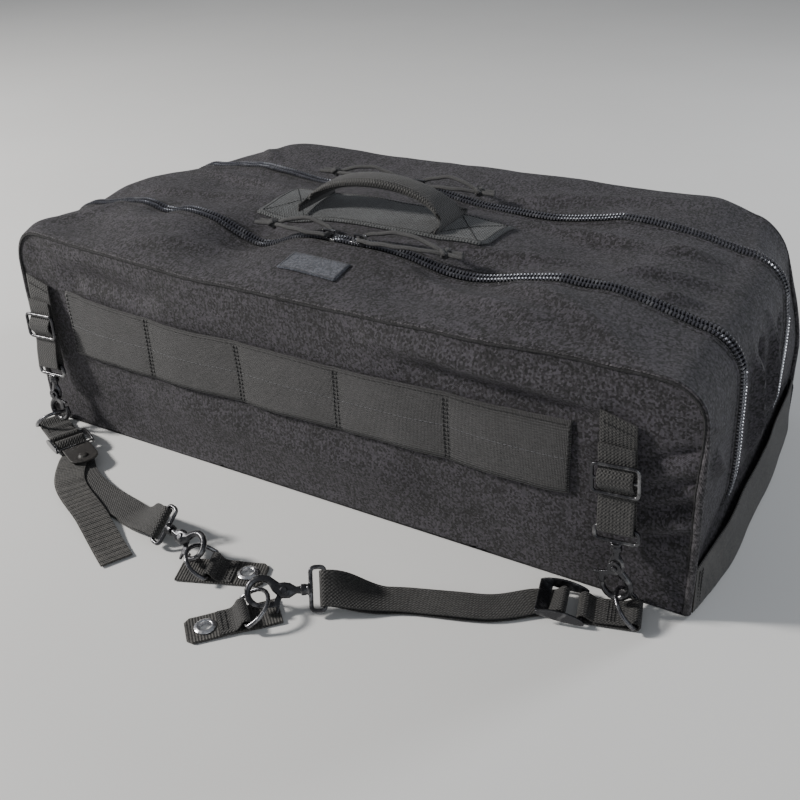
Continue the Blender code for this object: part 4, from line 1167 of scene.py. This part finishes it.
STRAP_TOP = {"left": (-0.284, -0.1535, 0.1470), "right": (0.2485, -0.1535, 0.1470)}
STRAP_LINE = {"left": (0.05, -0.08, -1.0), "right": (0.09, -0.08, -1.0)}
END_TAB_LINE = {"left": (0.906, -0.423, 0), "right": (-0.966, -0.259, 0)}
END_RING_HOLD = (0.0055, 0.0012, -0.0032)
LOWER_JAW = {"left": (-0.036, -0.262, 0.0168), "right": (0.041, -0.280, 0.0168)}
LOWER_HOLD = {"left": (0.0091, 0.0006, 0.0001), "right": (-0.0048, 0.0002, -0.0032)}
LOWER_LINE = {"left": (0.97, -0.25, 0), "right": (-0.84, -0.54, 0)}
CENTER_TAB_LINE = {"left": (0.934, 0.358, 0), "right": (-0.682, -0.731, 0)}
STRAP_ROUTE = {"left": [(-0.190, -0.2235), (-0.125, -0.2390)],
               "right": [(0.180, -0.2080), (0.128, -0.2265)]}
TAIL_ROUTE = [(-0.200, -0.2340, 0), (-0.145, -0.2620, 0), (-0.093, -0.2890, 0)]


class Place:
    """A local frame: u across, w along, n out of the face."""

    def __init__(self, origin, w, u, n):
        self.origin = Vector(origin)
        self.w = Vector(w).normalized()
        self.u = Vector(u).normalized()
        self.n = Vector(n).normalized()

    def at(self, u, w, n=0.0):
        return self.origin + self.u * u + self.w * w + self.n * n


def upper_place(side):
    w = Vector(STRAP_LINE[side]).normalized()
    n = (-Y - w * w.dot(-Y)).normalized()
    u = n.cross(w)
    if (u.x < 0) != (side == "left"):
        u = -u
    return Place(STRAP_TOP[side], w, u, n)


def end_ring_centre(side):
    """Centre of the bar of the D-ring held in the upper hook, which the end tab goes round."""
    offset, across, drop = END_RING_HOLD
    strap = upper_place(side)
    hook = Place(strap.at(0, STRAP_DROP, TURN), strap.w, strap.u, strap.n)
    target = hook.at(across, JAW_W) + Z * drop
    along = Vector(END_TAB_LINE[side]).normalized()
    bar = Z.cross(along).normalized()
    if bar.y < 0:
        bar = -bar
    reach = RING_LEG + RING_HALF * sin(acos(offset / RING_HALF))
    rise = (target.z - FLOOR_BAR) / reach
    bow = along * sqrt(1 - rise * rise) + Z * rise
    return target - bar * offset - bow * reach


def lower_hook_place(side):
    w = Vector(LOWER_LINE[side]).normalized()
    level = Z.cross(w)
    if level.y > 0:
        level = -level
    u = -level * cos(HOOK_ROLL) + Z * sin(HOOK_ROLL)
    n = level * sin(HOOK_ROLL) + Z * cos(HOOK_ROLL)
    return Place(Vector(LOWER_JAW[side]) - w * JAW_W, w, u, n)


def center_ring_centre(side):
    """Centre of the bar of the D-ring held in the lower hook, which the centre tab goes round."""
    offset, across, down = LOWER_HOLD[side]
    target = lower_hook_place(side).at(across, JAW_W + down)
    along = Vector(CENTER_TAB_LINE[side]).normalized()
    bar = Z.cross(along).normalized()
    reach = RING_LEG + RING_HALF * sin(acos(offset / RING_HALF))
    rise = (target.z - RAISED_BAR) / reach
    bow = Z * rise - along * sqrt(1 - rise * rise)
    return target - bar * offset - bow * reach


def adapter_places(near, along):
    near = Vector((near.x, near.y, FLOOR_BAR))
    far = near + along * ADAPTER_LENGTH + Z * 0.0045
    return near, near.lerp(far, 0.52), far


# ------------------------------------------------------------------ harness webbing

def ribbed(count, pitch_steps, depth):
    """Thickness scales along a path, so that the webbing has real ribs across it."""
    return [(1.0, 1.0 + depth * sin(2 * pi * k / pitch_steps)) for k in range(count)]


def path_length(points, closed=False):
    pairs = zip(points, points[1:] + points[:1] if closed else points[1:])
    return sum((b - a).length for a, b in pairs)


def loop_route(route, start_bar, stop_bar, stop_roll, sinks, steps):
    """Webbing carried round two bars in a closed loop, both runs close together between them."""
    ends = [Vector(start_bar)] + [Vector((p[0], p[1], 0)) for p in route] + [Vector(stop_bar)]
    line = curve_through([(p.x, p.y, 0) for p in ends], steps)
    length = path_length(line)
    bottom, top, travelled = [], [], 0.0
    for i, point in enumerate(line):
        ahead = (line[min(i + 1, len(line) - 1)] - line[max(i - 1, 0)]).normalized()
        if i:
            travelled += (point - line[i - 1]).length
        near = 1 - smooth(travelled / sinks[0])
        far = 1 - smooth((length - travelled) / sinks[1])
        roll = stop_roll * far
        across = Z.cross(ahead) * cos(roll) + Z * sin(roll)
        up = ahead.cross(across)
        base = (LOW_LAYER + UPPER_LAYER) / 2
        middle = base + (ends[0].z - base) * near + (ends[-1].z - base) * far
        spread = (UPPER_LAYER - LOW_LAYER) / 2
        spread += (TURN - spread) * max(near, far)
        free = (1 - max(near, far))
        ripple = 0.0005 * free * (1 + sin(travelled * 95 + 1.3))
        centre = Vector((point.x, point.y, middle))
        bottom.append((centre - up * spread, across))
        top.append((centre + up * (spread + ripple), across))

    def turn(bar, ahead, across):
        up = ahead.cross(across)
        return [(bar + ahead * (TURN * sin(a)) - up * (TURN * cos(a)), across)
                for a in (pi * k / 12 for k in range(1, 12))]

    tail = (line[-1] - line[-2]).normalized()
    head = (line[0] - line[1]).normalized()
    around_stop = turn(ends[-1], tail, bottom[-1][1])
    around_start = turn(ends[0], head, bottom[0][1] * -1)
    points = bottom + around_stop + top[::-1] + [(p, s * -1) for p, s in around_start[::-1]]
    return points, top


def make_loop(name, body, replaced, rests_on, *route):
    points, top = loop_route(*route)
    path = [p for p, s in points]
    mesh = sweep_mesh(path, WEBBING, [s for p, s in points], closed=True, flat=True)
    piece = new_object(name, mesh, MATERIALS["webbing"])
    place(piece, body, "webbing", replaced)
    length = round(path_length(path, closed=True), 3)
    return top


def make_short_loop(name, over, sides, body):
    """A short piece of webbing bent over a bar or a buckle."""
    piece = new_object(name, sweep_mesh(over, LOOP_WEBBING, sides, flat=True), MATERIALS["webbing"])
    place(piece, body, "webbing")
    length = round(path_length(over), 3)


def row_across(centre, across, lift):
    """A line across the webbing's width at a height over a centre."""
    return [centre + across * (TACK_HALF * s) + Z * lift for s in spaced(-1, 1, 0.1)]


def tack(name, top, first, last, body):
    """Rows of stitches across a loop's two layers, between two distances along its top run."""
    travelled, rows = 0.0, []
    for (a, _), (b, side_b) in zip(top, top[1:]):
        travelled += (b - a).length
        if first <= travelled <= last and (not rows or travelled - rows[-1][0] > 0.0019):
            rows.append((travelled, b, side_b))
    for index, (_, centre, across) in enumerate(rows):
        line = row_across(centre, across, WEB / 2 + 0.0001)
        stitches(f"{name}_{index}", line, Z, body, 0.0026, 0.0021, 0.0003)


def top_slant(strap, point):
    """How far a point near a hanging strap's top drops, because the top is sewn down at a slant."""
    share = (point.x - strap.origin.x) / WEB_WIDTH + 0.5
    down = (point - strap.origin).dot(strap.w)
    return strap.w * (0.009 * share * (1 - smooth(down, 0.0, 0.026)))


def make_short_strap(side):
    """Sewn at the top, down behind the eye's bar, round it and up through the triglide."""
    strap = upper_place(side)
    path = [(w, 0.0003 * sin(w * 130)) for w in spaced(-0.004, STRAP_DROP - 0.006, 0.0012)]
    path += [(STRAP_DROP + TURN * sin(pi * k / 12), TURN * (1 - cos(pi * k / 12))) for k in range(13)]
    front = [(STRAP_DROP, 2 * TURN), (STRAP_DROP - 0.012, 2 * TURN - 0.0012),
             (STRAP_DROP - 0.024, 0.0036), (0.034, 0.0034), (0.018, 0.0036)]
    path += [(p.x, p.y) for p in curve_through([Vector((w, n, 0)) for w, n in front], 12)[1:]]
    points = [strap.at(0, w, n) for w, n in path]
    mesh = sweep_mesh(points, WEBBING, strap.u, flat=True)
    for vert in mesh.vertices:
        vert.co += top_slant(strap, vert.co)
    piece = new_object(side + "_hanging_strap", mesh, MATERIALS["webbing"])
    place(piece, side + "_strap", "webbing", side + "_short_strap")
    round(path_length(points), 3)
    line = [strap.at(0.0108 * s, 0.0030, 0.0010) for s in spaced(-1, 1, 0.1)]
    line = [p + top_slant(strap, p) for p in line]
    stitches(side + "_strap_tack", line, strap.n, side + "_strap", radius=0.0004)
    hump = [(-0.0150, 0.0031), (-0.0125, 0.0034), (-0.0085, 0.0040), (-0.0045, 0.0066), (-0.0018, 0.0080),
            (0.0018, 0.0080), (0.0045, 0.0066), (0.0085, 0.0040), (0.0125, 0.0034), (0.0150, 0.0031)]
    over = curve_through([strap.at(0, TRIGLIDE_W + w, n) for w, n in hump], 5)
    make_short_loop(side + "_triglide_webbing", over, strap.u, side + "_triglide")


def make_center_tab(side):
    """Stitched double webbing with an eyelet, whose end loops over the D-ring's bar."""
    centre = center_ring_centre(side)
    along = Vector(CENTER_TAB_LINE[side]).normalized()
    across = Z.cross(along).normalized()
    base = Vector((centre.x, centre.y, 0.0013))
    start, stop = -TAB_BACK, TAB_FRONT
    rows = []
    half = WEB_WIDTH / 2
    for k in range(TAB_ROWS + 1):
        a = start + (stop - start) * k / TAB_ROWS
        narrow = min(half, half - max(0.0, a - (stop - TAB_TAPER)))
        rows.append([base + along * a + across * (narrow * (j / 11 - 1)) + Z * (0.0003 * sin(a * 150))
                     for j in range(23)])
    work = bmesh.new()
    add_grid(work, rows)
    eyelet = base + along * GROMMET_AT
    for vert in work.verts[:]:
        if (vert.co - eyelet).length < EYELET_RADIUS:
            work.verts.remove(vert)
    piece = new_object(side + "_tab_webbing", finish_mesh(work, side + "_tab"), MATERIALS["tail"])
    thicken(piece, TAB_THICKNESS, offset=0.0)
    place(piece, side + "_harness", "webbing", side + "_center_tab")
    top = 0.0027
    shape = [(0.0175, top), (0.0095, top), (0.0060, top + 0.0012)]
    shape += [(TURN * cos(pi * (0.1 + 0.85 * k / 6)), RAISED_BAR + TURN * sin(pi * (0.1 + 0.85 * k / 6)))
              for k in range(7)]
    shape += [(-0.0036, top + 0.0004), (-0.0042, 0.0016)]
    flat = Vector((centre.x, centre.y, 0))
    over = curve_through([flat + along * a + Z * b for a, b in shape], 5)
    make_short_loop(side + "_tab_loop", over, across, side + "_harness")
    for shift in (0.0155, 0.0120):
        line = row_across(flat + along * shift, across, top + 0.0009)
        name = f"{side}_tab_tack_{round(shift * 10000)}"
        stitches(name, line, Z, side + "_harness", radius=0.0003)


def make_tail(far, along):
    """The ribbed free end of the left strap, lying on the strap and then beside it."""
    route = curve_through([far + along * 0.004] + TAIL_ROUTE, 100)
    path, sides = [], []
    for i, point in enumerate(route):
        ahead = route[min(i + 1, len(route) - 1)] - route[max(i - 1, 0)]
        ahead = Vector((ahead.x, ahead.y, 0)).normalized()
        share = i / (len(route) - 1)
        rise = 0.0020 * smooth(share / 0.12) - 0.0050 * smooth((share - 0.62) / 0.35)
        path.append(Vector((point.x, point.y, 0.0044 + rise + 0.0003 * sin(share * 14))))
        sides.append(Z.cross(ahead))
    mesh = sweep_mesh(path, WEBBING, sides, scales=ribbed(len(path), 5, 0.22), flat=True)
    piece = new_object("left_strap_tail", mesh, MATERIALS["tail"])
    place(piece, "left_harness", "webbing")
    round(path_length(path), 3)


def plate_mesh(points, lift):
    """A plate from an outline, pushed both ways along lift by half its length."""
    work = bmesh.new()
    low = [work.verts.new(p - lift * 0.5) for p in points]
    high = [work.verts.new(p + lift * 0.5) for p in points]
    work.faces.new(low[::-1])
    work.faces.new(high)
    for k in range(len(points)):
        n = (k + 1) % len(points)
        work.faces.new((low[k], low[n], high[n], high[k]))
    bmesh.ops.recalc_face_normals(work, faces=work.faces[:])
    return finish_mesh(work, "plate")


def make_adapter(side, near, far):
    """Stamped adapter: arched cheeks, a thin bar at the tab, and a wide slanting plate at the strap."""
    along = (far - near).normalized()
    across = Z.cross(along).normalized()
    up = along.cross(across)
    if up.z < 0:
        up = -up
    length = (far - near).length
    meshes = []
    shares = [k / 16 for k in range(17)]
    edge = [near + along * (-0.0022 + (length + 0.0050) * share) for share in shares]
    rim = [p + up * (0.0012 + 0.0042 * sin(pi * share) ** 0.7) for p, share in zip(edge, shares)]
    under = [p - up * (0.0018 * sin(pi * share) ** 0.5 + 0.0010) for p, share in zip(edge, shares)]
    rim += reversed(under)
    for way in (-1, 1):
        outline = [p + across * (way * CHEEK_AT) for p in rim]
        meshes.append(plate_mesh(outline, across * CHEEK_THICKNESS))
    half = across * ADAPTER_HALF
    meshes.append(sweep_mesh([near - half, near + half], disc(ADAPTER_BAR_RADIUS, 16), up))
    hold = far - along * 0.0012
    section = [(-0.0048, -0.0007), (0.0044, -0.0007), (0.0052, 0.0), (0.0044, 0.0007),
               (-0.0048, 0.0007), (-0.0054, 0.0)]
    lean = (along + up * 0.42).normalized()
    meshes.append(sweep_mesh([hold - half, hold + half], section, lean))
    piece = new_object(side + "_adapter_stamping", join_meshes(meshes, "adapter"), MATERIALS["steel"], 0.6)
    soften = piece.modifiers.new("edges", "BEVEL")
    soften.width = 0.00035
    soften.segments = 2
    place(piece, side + "_harness", "black_steel", side + "_adapter_frame")


def make_harness(side):
    body = side + "_harness"
    ring = end_ring_centre(side)
    along = Vector(END_TAB_LINE[side]).normalized()
    near, middle, far = adapter_places(ring + along * END_TAB_LENGTH, along)
    hook = lower_hook_place(side)
    roll = HOOK_ROLL if side == "left" else -HOOK_ROLL
    make_short_strap(side)
    make_adapter(side, near, far)
    top = make_loop(side + "_end_loop", body, side + "_end_tab",
                    [side + "_end_ring", side + "_adapter_stamping"],
                    [], ring, near, 0.0, (0.009, 0.009), 30)
    tack(side + "_end_tack", top, 0.014, 0.022, body)
    route = [middle + along * LEAD] + STRAP_ROUTE[side] + [hook.origin - hook.w * LEAD]
    make_loop(side + "_long_strap", body, side + "_lower_strap",
              [side + "_adapter_bar", side + "_lower_eye"],
              route, middle, hook.origin, roll, (0.010, 0.045), 34)
    make_center_tab(side)
    if side == "left":
        make_tail(far, along)


# ------------------------------------------------------------------ metal

def round_off(name, material, voxel=0.00042, passes=3):
    """Melt a faceted CAD node's edges into the rounded ones of a casting or a bent wire."""
    piece = nodes[name]
    piece.data.materials.clear()
    piece.data.materials.append(MATERIALS[material])
    fine = piece.modifiers.new("melt", "REMESH")
    fine.mode = "VOXEL"
    fine.voxel_size = voxel
    fine.use_smooth_shade = True
    ease = piece.modifiers.new("ease", "SMOOTH")
    ease.iterations = passes
    ease.factor = 0.5


STEEL_PARTS = ("triglide", "upper_eye", "upper_hook", "upper_trigger", "lower_eye", "lower_hook",
               "lower_trigger")
WIRE_PARTS = ("end_ring", "center_ring", "adapter_bar")


def make_metal():
    for side in SIDES:
        for name in STEEL_PARTS:
            round_off(f"{side}_{name}", "steel")
        for name in WIRE_PARTS:
            round_off(f"{side}_{name}", "wire")
        round_off(side + "_grommet", "silver", voxel=0.00034)
    for pull in PULLS:
        round_off(pull[0] + "_slider", "enamel", voxel=0.00030, passes=4)
    round_off("left_keeper", "keeper", voxel=0.00040)
    nodes["bottom_stiffener"].data.materials.clear()
    nodes["bottom_stiffener"].data.materials.append(MATERIALS["board"])


make_camera()
make_studio()
make_shells()
make_attachment_band()
make_label()
make_handle_patch()
make_grip()
for handle_name, handle_side in (("left_end_handle", -1), ("right_end_handle", 1)):
    make_end_handle(handle_name, handle_side)
for pull in PULLS:
    make_pull(*pull)
for strap_side in SIDES:
    make_harness(strap_side)
make_metal()
